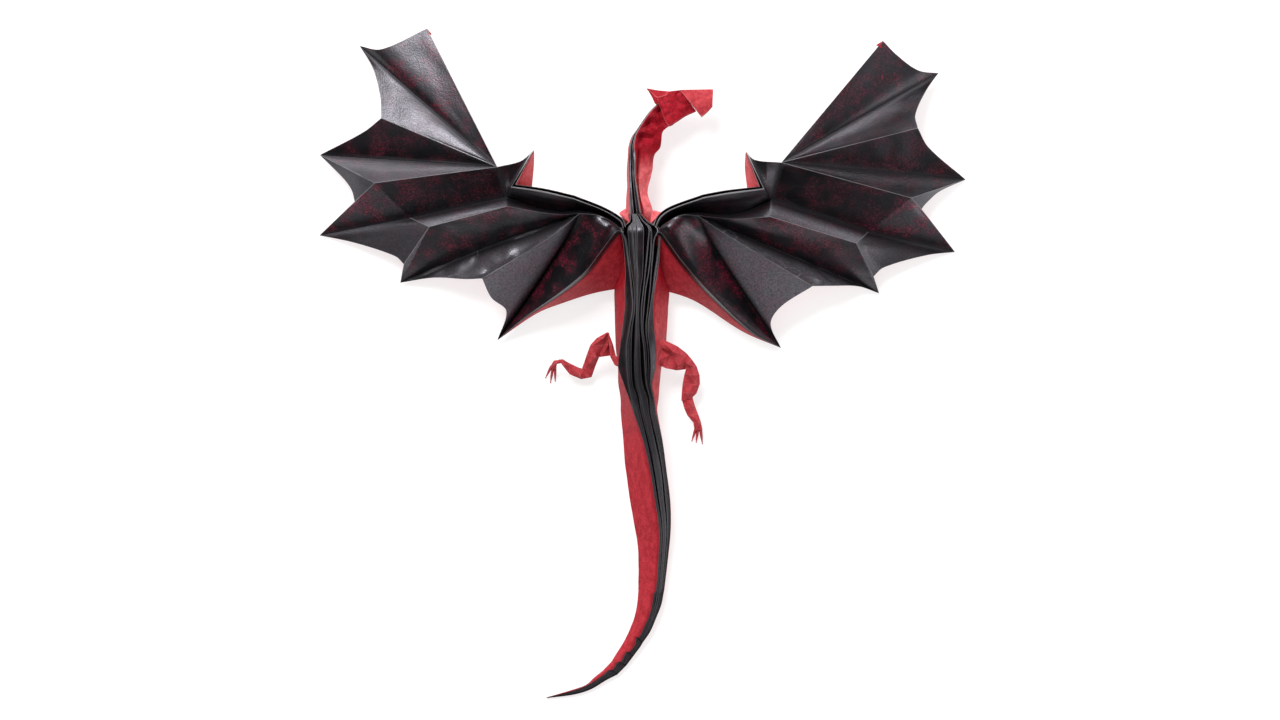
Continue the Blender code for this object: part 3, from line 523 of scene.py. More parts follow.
# last numbers of a panel: painted sheen on a black panel, painted light as pale pink on a red
# one
PANELS = (
    (("F", "T0", "T1", "F"), BLACK, -0.8, 0.06, (0.2, 0.4, 0.5, 0.3), (0.08, 0.25, 0.12, 0.08)),
    (("F", "T1", "M1", "F"), BLACK, 1.4, 0.08, (0.1, 0.1, 0.1, 0.1), (0.05, 0.0, 0.05, 0.2)),
    (("F", "M1", "T2", "F"), BLACK, -0.6, 0.08, (0.2, 0.2, 0.4, 0.2), (0.0, 0.12, 0.0, 0.0)),
    (("F", "T2", "K2", "F"), BLACK, 0.4, 0.06, (0.1, 0.2, 0.1, 0.1), (0.0, 0.0, 0.05, 0.0)),
    (("T2", "M2", "K2", "T2"), BLACK, 0.0, 0.03, (0.0, 0.0, 0.0, 0.0), (0.1, 0.25, 0.25, 0.1)),
    (("J3", "Q3", "K2", "F"), BLACK, -0.6, 0.10, (0.15, 0.3, 0.4, 0.1), (0.0, 0.05, 0.15, 0.0)),
    (("Q3", "T3", "M2", "K2"), BLACK, -0.3, 0.08, (0.4, 0.3, 0.8, 0.8), (0.25, 0.3, 0.35, 0.35)),
    (("J3", "Q3", "C3", "K3"), BLACK, 1.4, 0.08, (0.1, 0.1, 0.1, 0.1), (0.2, 0.8, 1.0, 0.5)),
    (("Q3", "T3", "M3", "C3"), BLACK, 0.3, 0.05, (0.0, 0.1, 0.0, 0.1), (0.25, 0.25, 0.3, 0.25)),
    (("C3", "M3", "T4", "C3"), BLACK, -0.3, 0.05, (0.1, 0.0, 0.0, 0.1), (0.6, 0.85, 0.85, 0.6)),
    (("K3", "C3", "T4", "G"), BLACK, -0.8, 0.10, (0.5, 0.8, 0.1, 0.3), (0.0, 0.15, 0.2, 0.0)),
    (("G", "T4", "M4", "G"), BLACK, 0.8, 0.85, (0.0, 0.0, 0.1, 0.0), (0.3, 0.35, 0.5, 0.3)),
    (("G", "M4", "T5", "G"), BLACK, -0.4, 0.06, (0.2, 0.1, 0.2, 0.2), (0.7, 0.9, 0.6, 0.7)),
    (("G", "T5", "T5", "S2"), BLACK, -0.3, 0.05, (0.5, 0.8, 0.2, 0.2), (0.0, 0.0, 0.0, 0.0)),
    (("S2", "T5", "T5", "S3"), BLACK, 0.0, 0.0, (0.0, 0.0, 0.0, 0.0), (0.0, 0.0, 0.0, 0.0)),
    (("S3", "T5", "T5", "B"), RED, 0.8, 0.10, (0.0, 0.0, 0.0, 0.0), (0.0, 0.4, 0.4, 0.15)),
    (("F", "CT", "EL", "J3"), BLACK, -0.5, 0.05, (0.1, 0.1, 0.1, 0.1), (0.0, 0.0, 0.0, 0.0)),
    (("EL", "AG", "VG", "J3"), BLACK, -0.3, 0.05, (0.1, 0.1, 0.1, 0.1), (0.0, 0.0, 0.0, 0.0)),
    (("AG", "S", "VS", "VG"), BLACK, 0.0, 0.05, (0.1, 0.1, 0.1, 0.1), (0.0, 0.0, 0.0, 0.0)),
    (("J3", "VG", "G", "K3"), BLACK, 0.0, 0.05, (0.1, 0.1, 0.1, 0.1), (0.0, 0.1, 0.2, 0.2)),
    (("VG", "VS", "S2", "G"), BLACK, 0.0, 0.05, (0.1, 0.1, 0.1, 0.1), (0.1, 0.0, 0.1, 0.2)),
    (("CT", "EL", "GE", "CT"), BLACK, 0.0, 0.0, (0.0,) * 4, (0.0,) * 4),
    (("EL", "AG", "GA", "GE"), BLACK, 0.0, 0.0, (0.0,) * 4, (0.0,) * 4),
    (("AG", "S", "GS", "GA"), BLACK, 0.0, 0.0, (0.0,) * 4, (0.0,) * 4),
    (("CT", "GE", "RE", "CT"), BLACK, 0.0, 0.0, (0.0,) * 4, (0.0,) * 4),
    (("GE", "GA", "RA", "RE"), BLACK, 0.0, 0.0, (0.0,) * 4, (0.0,) * 4),
    (("GA", "GS", "RS", "RA"), BLACK, 0.0, 0.0, (0.0,) * 4, (0.0,) * 4),
    (("CT", "RE", "WE", "WT"), RED, 0.0, 0.05, (0.0,) * 4, (0.7, 0.6, 0.7, 0.8)),
    (("RE", "RA", "WA", "WE"), BLACK, 0.0, 0.05, (0.0,) * 4, (0.1,) * 4),
    (("RA", "RS", "WS", "WA"), BLACK, 0.0, 0.05, (0.0,) * 4, (0.1,) * 4),
    (("T0", "XA", "XB", "T0"), RED, 0.0, 0.0, (0.0,) * 4, (0.0,) * 4),
)
MOUNTAINS = (
    ("F", "M1"), ("F", "K2"), ("K2", "T2"), ("K2", "M2"), ("Q3", "C3"), ("K3", "C3"),
    ("C3", "M3"), ("G", "M4"), ("S2", "T5"), ("EL", "AG"), ("AG", "S"), ("CT", "EL"),
    ("K3", "G"), ("G", "S2"), ("CT", "RE"), ("RE", "RA"), ("RA", "RS"),
    ("T0", "T1"), ("T1", "M1"), ("M1", "T2"), ("T2", "M2"), ("M2", "T3"), ("T3", "M3"),
    ("M3", "T4"), ("T4", "M4"), ("M4", "T5"), ("F", "T0"), ("F", "CT"), ("B", "T5"),
)
VALLEYS = (
    ("F", "T1"), ("F", "T2"), ("J3", "Q3"), ("Q3", "T3"), ("G", "T4"), ("G", "T5"),
    ("F", "J3"), ("J3", "VG"), ("VG", "VS"), ("CT", "GE"), ("GE", "GA"), ("GA", "GS"),
    ("S3", "T5"),
)
VALLEY_WIDTH = 11.0     # a panel curves up out of a valley over this distance
VALLEY_CURVE = 1.5      # and gains this height
RIMS = (("CT", "EL"), ("EL", "AG"), ("AG", "S"), ("CT", "RE"), ("RE", "RA"), ("RA", "RS"))
RIM_WEAR_AND_HIGHLIGHT = 1.6          # how far from a rim its pale line reaches, partly worn coat and partly painted highlight
# Shares along a panel's side: close together at the creases, which keeps them crisp.
CELLS = 30
SHARES = [0.0, 0.012, 0.03] + [i / CELLS for i in range(1, CELLS)] + [0.97, 0.988, 1.0]
print(len(PANELS), "panels in each wing, with", (len(SHARES) - 1)**2, "cells each")

# %% Edges and inside of a panel


def wing_edges(corners, curves):
    """A function that gives the crease between two named corners of one wing."""
    corners = {name: np.array(place) for name, place in corners.items()}
    known = {}
    for (a, b), inner in curves.items():
        known[a, b] = smooth_path([corners[a], *inner, corners[b]], SHARES)
    known["CT", "EL"] = smooth_path([corners["CT"], corners["EL"]], SHARES)
    for letter, rims, drop in (("G", 1, RIM_DROP), ("R", 2, 0.0)):
        for start, end in (("CT", "EL"), ("EL", "AG"), ("AG", "S")):
            moves = [np.array((*(RIM_STEP * rims * d for d in RIM_WAYS.get(c, (0, 0))),
                               -drop if c in RIM_WAYS else 0.0)) for c in (start, end)]
            share = np.array(SHARES)[:, None]
            line = known[start, end] + moves[0] * (1 - share) + moves[1] * share
            names = (start if start == "CT" else letter + start[0], letter + end[0])
            known[names] = line
            corners[names[1]] = line[-1]

    def edge(a, b):
        if (a, b) in known:
            return known[a, b]
        if (b, a) in known:         # SHARES are the same from both ends
            return known[b, a][::-1]
        return smooth_path([corners[a], corners[b]], SHARES)

    return edge


def panel_points(edge, a, b, c, d):
    """A grid of points that fills the space between a panel's four edges."""
    south, north, west, east = edge(a, b), edge(d, c), edge(a, d), edge(b, c)
    s = np.array(SHARES)[None, :, None]
    t = np.array(SHARES)[:, None, None]
    ruled = (south[None] * (1 - t) + north[None] * t
             + west[:, None] * (1 - s) + east[:, None] * s)
    corners = (south[0] * (1 - s) * (1 - t) + south[-1] * s * (1 - t)
               + north[0] * (1 - s) * t + north[-1] * s * t)
    return ruled - corners


# %% [markdown]
# From panels to a sheet
#
# A grid is added for each panel and laid between its creases. The grids are joined
# and their shared borders merged, which gives one creased sheet. Paper is never
# perfectly flat, so each panel gets a slight bulge, a curve up out of its valley fold,
# long waves, and the winding creases of crumpled paper, all of which fade out at the
# folds. Last, the sheet is extruded straight down by its thickness, and what was moved
# gets the other colour of the paper. Solidify would move it along the normals and push
# the steep folds of the arm through one another.

# %% Lay one panel


def lay_panel(edge, panel, side):
    """Adds a grid and lays it between the creases of one panel."""
    (a, b, c, d), face_up, bulge, crumple, specks, painted_sheen = panel
    bpy.ops.object.select_all(action="DESELECT")
    count = len(SHARES) - 1
    bpy.ops.mesh.primitive_grid_add(x_subdivisions=count, y_subdivisions=count, size=2)
    sheet = bpy.context.active_object
    flat = np.empty(3 * len(sheet.data.vertices))
    sheet.data.vertices.foreach_get("co", flat)
    step = np.rint((flat.reshape(-1, 3)[:, :2] + 1) / 2 * count).astype(int)
    grid = panel_points(edge, a, b, c, d)
    points = grid[step[:, 1], step[:, 0]] * np.array((side, 1, 1)) + (0, 0, THICKNESS)
    put_points(sheet, points)
    s, t = np.array(SHARES)[step[:, 0]], np.array(SHARES)[step[:, 1]]
    keep(sheet, "bulge", bulge * 16 * s * (1 - s) * t * (1 - t))
    keep(sheet, "crumple", np.full(len(s), crumple))
    shares = ((1 - s) * (1 - t), s * (1 - t), s * t, (1 - s) * t)
    keep(sheet, "specks", sum(value * share for value, share in zip(specks, shares)))
    # painted sheen, or painted light on a red panel, blended from the four corners
    keep(sheet, "painted_sheen", sum(value * share for value, share in zip(painted_sheen, shares)))
    for material in (black, red, black):
        sheet.data.materials.append(material)
    sheet.data.polygons.foreach_set("material_index", [face_up] * len(sheet.data.polygons))
    area = sum(np.cross(grid[i + 1, j] - grid[i, j + 1], grid[i + 1, j + 1] - grid[i, j])[2]
               for i in range(0, count, 3) for j in range(0, count, 3))
    if area * side > 0:
        in_edit_mode(sheet, bpy.ops.mesh.flip_normals)
    return sheet


# %% Waves and creases of real paper
LONG_WAVE = 26          # sizes of the waves and creases on a wing
SHORT_WAVE = 12
CREASE_GAP = 20


def wave(points, size, seed, octaves=2):
    """Smooth random values between about -1 and 1 over waves of one size."""
    place = Vector((seed * 17.3, seed * 5.1, seed * 9.7))
    return np.array([noise.fractal(Vector(p) / size + place, 1.0, 2.0, octaves)
                     for p in points])


def bends(points, size, seed):
    """Sharp winding creases with smooth paper between them."""
    return 0.4 - 2 * np.abs(wave(points, size, seed, 1))


def values(piece, name):
    """The stored number of each point."""
    found = np.empty(len(piece.data.vertices), dtype=np.float32)
    piece.data.attributes[name].data.foreach_get("value", found)
    return found


# %% Join the panels into a wing


def make_wing(name, corners, curves, side, seed):
    """One wing as a creased sheet of paper."""
    edge = wing_edges(corners, curves)
    sheets = [lay_panel(edge, panel, side) for panel in PANELS]
    pick(*sheets)
    bpy.ops.object.join()
    wing = bpy.context.active_object
    wing.name = wing.data.name = name
    in_edit_mode(wing, merge(0.02),
                 lambda: bpy.ops.mesh.dissolve_degenerate(threshold=0.004 * MM))
    points = get_points(wing)
    mirror = np.array((side, 1, 1))
    mountains = [(edge(a, b) + (0, 0, THICKNESS)) * mirror for a, b in MOUNTAINS]
    valleys = [(edge(a, b) + (0, 0, THICKNESS)) * mirror for a, b in VALLEYS]
    to_mountain = distance_to(points, mountains)
    to_valley = distance_to(points, valleys)
    keep(wing, "mountain", to_mountain)
    keep(wing, "valley", to_valley)
    rims = [(edge(a, b) + (0, 0, THICKNESS)) * mirror for a, b in RIMS]
    # the pale line, partly wear and partly painted highlight, is strong at the arm's rims and
    # faint elsewhere
    keep(wing, "wear_and_highlight", np.where(distance_to(points, rims) < RIM_WEAR_AND_HIGHLIGHT, 1.0, 0.3))
    away = np.minimum(to_mountain, to_valley)
    crumple = values(wing, "crumple")
    near = 1 - np.clip(to_valley / VALLEY_WIDTH, 0, 1)
    height = (values(wing, "bulge") * rise(away, 1) + VALLEY_CURVE * (1 - near**2)
              + 0.5 * rise(away, 9) * wave(points, LONG_WAVE, seed)
              + 2.0 * crumple * rise(away, 3) * wave(points, SHORT_WAVE, seed + 1)
              + 2.0 * crumple * rise(away, 2) * bends(points, CREASE_GAP, seed + 2))
    points[:, 2] = np.maximum(points[:, 2] + height, SHEET)
    put_points(wing, points)
    in_edit_mode(wing, lambda: bpy.ops.mesh.extrude_region_move(
        TRANSFORM_OT_translate={"value": (0, 0, -SHEET * MM)}))
    for face in wing.data.polygons:
        if face.select:
            face.material_index += 1
    in_edit_mode(wing, lambda: bpy.ops.mesh.normals_make_consistent(inside=False))
    smooth_by_angle(wing, 50)
    print(name, len(wing.data.polygons), "faces")
    return wing


# %% Make both wings
left_wing = make_wing("left_wing_paper", LEFT_WING, LEFT_CURVES, -1, 1)
right_wing = make_wing("right_wing_paper", RIGHT_WING, RIGHT_CURVES, 1, 7)
pieces = [left_wing, right_wing]

# %% [markdown]
# The body
#
# Neck, trunk and tail are one long stack of pleats. From above one sees the edges of
# the layers as pale lines with dark gaps between them, and the red outer faces of the
# stack on both sides. A stack is swept: the measured sections list where the outline,
# the red and black border and each layer lie, and smooth curves join them. Towards the
# tail the stack leans over, so its left face turns up. Folding it from a flat sheet
# with bones or cloth would give no control over where each layer shows.

# %% Sections of the trunk and tail
# Each row: x of left outline, left border, right border and right outline; y (or one
# y for each of the four); heights of the four; crown of the layers; where each layer
# starts and ends, as shares from border to border.
TOP_LAYERS = (0.005, 0.034, 0.176, 0.284, 0.299, 0.382, 0.407, 0.571,
              0.699, 0.723, 0.740, 0.770, 0.912, 0.941, 0.971, 0.990)
TRUNK = (
    ((-6.8, -4.9, 0.6, 6.0), 74.5, (12, 27.0, 27, 12), 0.6, TOP_LAYERS),
    ((-7.4, -5.4, 4.6, 7.4), 70.4, (13, 29.0, 29, 13), 1.2, TOP_LAYERS),
    ((-8.9, -8.4, 8.8, 9.2), 68.4, (14, 30.2, 30.4, 14), 1.6, TOP_LAYERS),
    ((-9.8, -9.6, 10.4, 10.6), 66.2, (14, 30.5, 31, 14), 2.0, TOP_LAYERS),
    ((-8.8, -8.6, 10.1, 10.3), 62.0, (14, 30.0, 30.5, 14), 2.2,
     (0.053, 0.086, 0.160, 0.267, 0.278, 0.353, 0.377, 0.556,
      0.671, 0.698, 0.749, 0.778, 0.829, 0.858, 0.957, 0.984)),
    ((-8.2, -7.7, 9.7, 10.1), 54.0, (14, 29.0, 29.5, 14), 2.4,
     (0.078, 0.109, 0.138, 0.259, 0.282, 0.333, 0.351, 0.537,
      0.626, 0.655, 0.730, 0.759, 0.790, 0.819, 0.931, 0.960)),
    ((-10.5, -7.2, 8.7, 13.0), 44.5, (13, 27.5, 28, 13), 2.6,
     (0.132, 0.167, 0.208, 0.302, 0.327, 0.371, 0.384, 0.535,
      0.594, 0.626, 0.698, 0.726, 0.783, 0.811, 0.893, 0.921)),
    ((-12.6, -7.6, 7.5, 14.7), 38.0, (12, 26, 26, 12), 3.2,
     (0.205, 0.242, 0.298, 0.351, 0.387, 0.417, 0.427, 0.530,
      0.609, 0.639, 0.685, 0.715, 0.821, 0.851, 0.921, 0.950)),
    ((-12.6, -7.6, 6.6, 14.1), 28.0, (12, 24, 24, 12), 4.0,
     (0.271, 0.303, 0.335, 0.363, 0.405, 0.426, 0.433, 0.504,
      0.574, 0.609, 0.655, 0.690, 0.799, 0.827, 0.884, 0.901)),
    ((-12.3, -8.9, 7.1, 13.5), 17.5, (12, 23.5, 23.5, 12), 4.0,
     (0.210, 0.248, 0.285, 0.320, 0.411, 0.426, 0.436, 0.530,
      0.592, 0.621, 0.636, 0.658, 0.730, 0.759, 0.793, 0.806)),
    ((-12.1, -10.0, 8.0, 12.8), 8.0, (12, 23, 23, 12), 4.0,
     (0.172, 0.206, 0.228, 0.317, 0.411, 0.428, 0.439, 0.556,
      0.650, 0.678, 0.706, 0.719, 0.767, 0.781, 0.822, 0.833)),
    ((-11.0, -10.7, 7.8, 10.8), -1.5, (10, 22, 22, 10), 3.8,
     (0.222, 0.254, 0.270, 0.351, 0.427, 0.486, 0.497, 0.597,
      0.697, 0.727, 0.751, 0.765, 0.811, 0.824, 0.865, 0.876)),
    ((-10.9, -8.0, 5.9, 9.8), -10.0, (7, 22.5, 20.5, 9), 3.0,
     (0.165, 0.201, 0.229, 0.315, 0.416, 0.495, 0.509, 0.667,
      0.781, 0.821, 0.839, 0.853, 0.896, 0.910, 0.939, 0.953)),
    ((-9.8, -5.5, 7.0, 9.2), -17.0, (5, 23, 20, 12), 2.2,
     (0.096, 0.136, 0.160, 0.320, 0.408, 0.488, 0.500, 0.728,
      0.816, 0.864, 0.880, 0.892, 0.916, 0.928, 0.952, 0.964)),
    ((-9.6, -3.2, 8.0, 8.7), -24.0, (3.5, 23.8, 19.5, 16), 1.4,
     (0.031, 0.125, 0.143, 0.286, 0.344, 0.460, 0.473, 0.683,
      0.741, 0.830, 0.844, 0.884, 0.897, 0.933, 0.946, 0.973)),
    ((-8.4, 1.5, 11.1, 11.2), -38.0, (6, 23, 17.5, 16.5), 1.0,
     (0.021, 0.083, 0.099, 0.188, 0.281, 0.396, 0.411, 0.615,
      0.708, 0.802, 0.823, 0.875, 0.896, 0.932, 0.948, 0.974)),
    ((-7.2, 4.8, 13.0, 13.1), -52.0, (7.4, 22, 15, 14), 0.8,
     (0.018, 0.067, 0.085, 0.170, 0.285, 0.430, 0.448, 0.673,
      0.752, 0.836, 0.855, 0.897, 0.915, 0.945, 0.964, 0.982)),
    ((-5.0, 7.4, 14.9, 15.1), -68.0, (7.2, 19.6, 12.2, 11.4), 0.6,
     (0.020, 0.073, 0.093, 0.180, 0.287, 0.407, 0.427, 0.607,
      0.707, 0.807, 0.827, 0.887, 0.907, 0.947, 0.960, 0.980)),
    ((-2.9, 9.2, 15.3, 15.4), -80.0, (6.4, 17.4, 9.6, 9.0), 0.5,
     (0.025, 0.098, 0.123, 0.230, 0.303, 0.418, 0.443, 0.639,
      0.713, 0.803, 0.828, 0.885, 0.910, 0.943, 0.959, 0.984)),
    ((-1.1, 9.4, 14.4, 14.6), -91.5, (5, 14.3, 7.5, 7), 0.4,
     (0.030, 0.110, 0.140, 0.270, 0.340, 0.450, 0.480, 0.670,
      0.740, 0.820, 0.850, 0.900, 0.920, 0.950, 0.960, 0.980)),
    ((-0.8, 7.9, 12.0, 12.1), -113.0, (3.9, 11.3, 6, 5.6), 0.3,
     (0.024, 0.110, 0.134, 0.268, 0.341, 0.463, 0.488, 0.683,
      0.744, 0.829, 0.854, 0.902, 0.927, 0.951, 0.963, 0.976)),
)
print(len(TRUNK), "sections of the trunk")

# %% Sections of the tail's end and the neck
# Beyond the bend, x and y of left outline, border and right outline, with heights.
TAIL_END = (
    ((-0.9, -114.4), (6.9, -114.2), (11.8, -114.4), (3.8, 11.0, 5.9)),
    ((-1.5, -120.0), (6.0, -120.0), (10.7, -120.0), (3.2, 10.2, 5.4)),
    ((-2.7, -126.5), (4.6, -125.5), (8.2, -126.5), (2.8, 9.2, 4.8)),
    ((-4.2, -130.5), (2.2, -130.8), (5.2, -133.5), (2.4, 8.3, 4.2)),
    ((-6.2, -135.0), (-0.6, -136.5), (1.5, -139.0), (2.1, 7.4, 3.7)),
    ((-7.8, -138.2), (-2.5, -140.0), (0.2, -141.2), (1.9, 6.8, 3.4)),
    ((-10.6, -143.0), (-5.5, -143.8), (-2.8, -145.2), (1.6, 5.9, 3.0)),
    ((-14.2, -148.5), (-9.8, -148.8), (-6.5, -150.2), (1.4, 5.0, 2.6)),
    ((-18.4, -153.0), (-13.8, -152.8), (-11.0, -154.8), (1.2, 4.3, 2.3)),
    ((-22.6, -156.5), (-19.0, -155.8), (-16.5, -157.8), (1.0, 3.6, 2.0)),
    ((-27.2, -160.5), (-26.6, -160.7), (-24.6, -162.6), (0.8, 2.6, 1.6)),
    ((-35.0, -163.2), (-34.5, -163.6), (-33.0, -165.2), (0.6, 1.9, 1.2)),
    ((-46.9, -166.7), (-46.8, -166.8), (-46.7, -167.0), (0.4, 0.9, 0.6)),
)
TAIL_LAYERS = (0.02, 0.08, 0.12, 0.22, 0.30, 0.42, 0.50, 0.62,
               0.68, 0.74, 0.79, 0.85, 0.89, 0.93, 0.95, 0.98)
CRIMPS = (4, 6, 7, 8)   # rows of the tail end that are crimped
CRIMP_STEP = 1.1        # how far a crimp moves the border, and what it leaves of the height
CRIMP_LOW = 0.88
NECK = (
    ((-7.0, -4.5, 1.0, 7.0), 69.0, (12, 23, 23, 16), 0.6),
    ((-6.8, -4.9, 0.4, 6.6), 75.0, (12, 26, 26, 18), 0.6),
    ((-6.8, -5.4, -1.1, 4.2), 84.5, (12, 25, 25, 18), 0.5),
    ((-6.6, -5.6, -2.4, 5.6), 94.0, (13, 24, 24.4, 17), 0.4),
    ((-5.8, -5.6, -2.4, 7.5), 103.8, (13, 21.5, 23.4, 15), 0.3),
    ((-5.2, -5.1, -2.9, 10.2), (108.5, 108.5, 108.5, 107.5), (13, 18.5, 22, 14), 0.2),
    ((-3.8, -3.7, -2.1, 10.7), (113.5, 113.5, 113.4, 111.5), (12.5, 16, 20.6, 14.5), 0.2),
    ((-2.0, -1.9, -1.0, 10.6), (116.3, 116.3, 116.0, 113.6), (12.5, 15.5, 20, 15), 0.1),
    ((1.3, 1.4, 2.0, 11.5), (121.3, 121.2, 120.8, 116.0), (12.5, 15, 19.6, 15.5), 0.1),
    ((4.6, 4.7, 5.1, 14.2), (125.7, 125.6, 125.2, 118.3), (12.5, 15, 19, 16), 0.1),
    ((7.9, 8.0, 8.3, 16.0), (129.0, 128.9, 128.5, 119.6), (12.5, 15, 17.2, 15.5), 0.1),
    ((10.2, 10.3, 10.8, 17.4), (131.2, 131.1, 130.7, 121.6), (12.0, 14, 15.4, 14), 0.1),
)
NECK_LAYERS = (0.08, 0.34, 0.62, 0.92)
# Across the right face: share of the way down, swelling and kind of fold.
SMOOTH_SIDE = ((0.15, 0.3, ""), (0.4, 0.6, ""), (0.7, 0.5, ""))
NECK_SIDE = ((0.08, -1.8, ""), (0.16, -3.0, "valley"), (0.28, 0.9, ""), (0.7, 0.7, ""))
NECK_CRIMP = 2.4        # how far the upper part of the face folds in and out
GROOVE = 7.0            # deepest gap between layers
GROOVE_SHARE = 0.34     # a gap is never deeper than this share of the height
GROOVE_STEEP = 3.2      # depth of a gap for each millimetre that it is wide
SECTION_STEP = 0.9      # between two sections along the body
BODY_WAVE = 12          # sizes of the waves and creases on the body
BODY_CREASE = 14
print(len(TAIL_END), "sections of the tail's end and", len(NECK), "of the neck")

# %% [markdown]
# One section
#
# Going round a section: the foot on the table, the left outline, up the red face to
# the border, over the layers and their gaps, and down the other red face.

# %% Build a section


def four_points(xs, ys, heights):
    """Left outline, left border, right border and right outline as points."""
    ys = ys if isinstance(ys, tuple) else (ys,) * 4
    return [np.array(p, dtype=float) for p in zip(xs, ys, heights)]


def section(outline, crown, layers, feet, lift, side=SMOOTH_SIDE):
    """Points of one section, with their kind: mountain, valley or plain."""
    left, border, far_border, right = outline
    points, kinds = [], []

    def put(point, kind=""):
        points.append(np.array(point, dtype=float))
        kinds.append(kind)

    def over(share, drop=0.0):
        point = border * (1 - share) + far_border * share
        arch = crown * (1 - (2 * share - 1)**2)
        return point + (0, 0, arch - drop)

    def foot(share):
        point = left * (1 - share) + right * share
        return (point[0], point[1], lift)

    height = min(border[2], far_border[2])
    put(foot(feet[0]))
    put(left * 0.6 + np.array(foot(feet[0])) * 0.4)
    put(left)
    for share, swell in ((0.3, 0.5), (0.6, 0.6), (0.85, 0.3)):
        put(left * (1 - share) + border * share + (0, 0, swell))
    put(border, "mountain")
    put(over(layers[0] * 0.33))
    put(over(layers[0] * 0.66))
    for i in range(0, len(layers), 2):
        start, end = layers[i], layers[i + 1]
        put(over(start), "mountain")
        put(over((start + end) / 2) + (0, 0, 0.12))
        put(over(end), "mountain")
        if i + 2 < len(layers):
            gap = (layers[i + 2] - end) * np.linalg.norm(far_border - border)
            depth = min(GROOVE, GROOVE_SHARE * height, GROOVE_STEEP * gap)
            middle = (layers[i + 2] + end) / 2
            put(over(end * 0.6 + middle * 0.4, depth * 0.62))
            put(over(middle, depth), "valley")
            put(over(layers[i + 2] * 0.6 + middle * 0.4, depth * 0.62))
    last = layers[-1]
    put(over(last + (1 - last) * 0.33))
    put(over(last + (1 - last) * 0.66))
    put(far_border, "border")
    for share, swell, kind in side:
        put(far_border * (1 - share) + right * share + (0, 0, swell), kind)
    put(right)
    put(right * 0.6 + np.array(foot(feet[1])) * 0.4)
    put(foot(feet[1]))
    return np.array(points), kinds


# %% Sweep the sections


def between(keys, step, curved=True):
    """Sections between the measured ones, on curves or straight lines."""
    keys = np.array(keys)
    spans = [max(float(np.linalg.norm((b - a).mean(axis=0))), 0.1)
             for a, b in zip(keys, keys[1:])]
    slopes = []
    for k in range(len(keys)):
        before, after = max(k - 1, 0), min(k + 1, len(keys) - 1)
        slopes.append((keys[after] - keys[before]) / sum(spans[before:after]))
    made = []
    for k, span in enumerate(spans):
        count = max(2, int(span / step))
        for t in np.arange(count) / count:
            if not curved:
                made.append(keys[k] * (1 - t) + keys[k + 1] * t)
                continue
            made.append(keys[k] * (2 * t**3 - 3 * t**2 + 1)
                        + slopes[k] * span * (t**3 - 2 * t**2 + t)
                        + keys[k + 1] * (3 * t**2 - 2 * t**3)
                        + slopes[k + 1] * span * (t**3 - t**2))
    made.append(keys[-1])
    return np.array(made)


def sweep(name, keys, kinds, seed, crumple, painted_lights):
    """A closed body through the sections, black between its two borders."""
    rings = between(keys, SECTION_STEP)
    count, sides = rings.shape[:2]
    first, last = kinds.index("mountain"), kinds.index("border")
    mountains = rings[:, [i for i, k in enumerate(kinds) if k in ("mountain", "border")]]
    valleys = rings[:, [i for i, k in enumerate(kinds) if k == "valley"]]

    def nearest(lines):
        return np.linalg.norm(rings[:, :, None] - lines[:, None], axis=3).min(axis=2).ravel()

    faces, slots = [], []
    for row in range(count - 1):
        for i in range(sides):
            j = (i + 1) % sides
            a, b = row * sides, (row + 1) * sides
            faces.append((a + i, b + i, b + j, a + j))
            slots.append(BLACK if first <= i < last else RED)
    faces += [list(range(sides)), list(range((count - 1) * sides, count * sides))[::-1]]
    slots += [RED, RED]
    points = rings.reshape(-1, 3)
    to_mountain, to_valley = nearest(mountains), nearest(valleys)
    away = rise(np.minimum(to_mountain, to_valley), 2)
    waves = 0.5 * away * wave(points, BODY_WAVE, seed)
    points = points + np.outer(waves, (0.4, 0, 1))
    creases = 2.2 * crumple * away * bends(points, BODY_CREASE, seed)
    points = points + np.outer(creases, (0.5, 0, 0.9))
    points[:, 2] = np.maximum(points[:, 2], 0.0)
    piece = make_piece(name, points, faces, slots)
    keep(piece, "mountain", to_mountain)
    keep(piece, "valley", to_valley)
    towards_neck = rise(points[:, 1] + 10, 70)
    on_side = np.tile([i / (sides - 1) for i in range(sides)], count)
    upper_neck = rise(points[:, 1] - 95, 12)
    # pale line along the neck's border and right face: partly wear, partly painted highlight
    pale_fold = np.tile([i >= last for i in range(sides)], count) * rise(points[:, 1] - 72, 5)
    # painted sheen: faint grey on the black layers towards the neck; on the red faces painted
    # light, as pale pink
    painted_sheen = np.where(np.tile([first <= i <= last for i in range(sides)], count),
                      0.03 * towards_neck, painted_lights(points[:, 1], on_side > 0.5))
    # pale lines along the folds, partly wear and partly painted highlight, strongest towards the
    # neck
    wear_and_highlight = (0.06 + 0.26 * towards_neck) * (1 - 0.7 * upper_neck) + 0.6 * pale_fold
    looks = {"specks": 0.1, "crumple": crumple, "painted_sheen": painted_sheen, "wear_and_highlight": wear_and_highlight}
    for label, value in looks.items():
        keep(piece, label, np.ones(len(points)) * value)
    in_edit_mode(piece, lambda: bpy.ops.mesh.normals_make_consistent(inside=False))
    smooth_by_angle(piece, 30)
    print(name, len(piece.data.polygons), "faces")
    return piece


# %% Rows of tail, trunk and neck


def crimped(rows):
    """Each bend of the tail end steps back a little where the stack is crimped."""
    for number, (left, border, right, heights) in enumerate(rows):
        yield left, border, right, heights
        if number in CRIMPS:
            back = (border[0] - CRIMP_STEP, border[1] + 0.3)
            low = tuple(CRIMP_LOW * height for height in heights)
            yield (left[0] - 0.2, left[1] - 0.3), back, (right[0] - 0.2, right[1] - 0.3), low


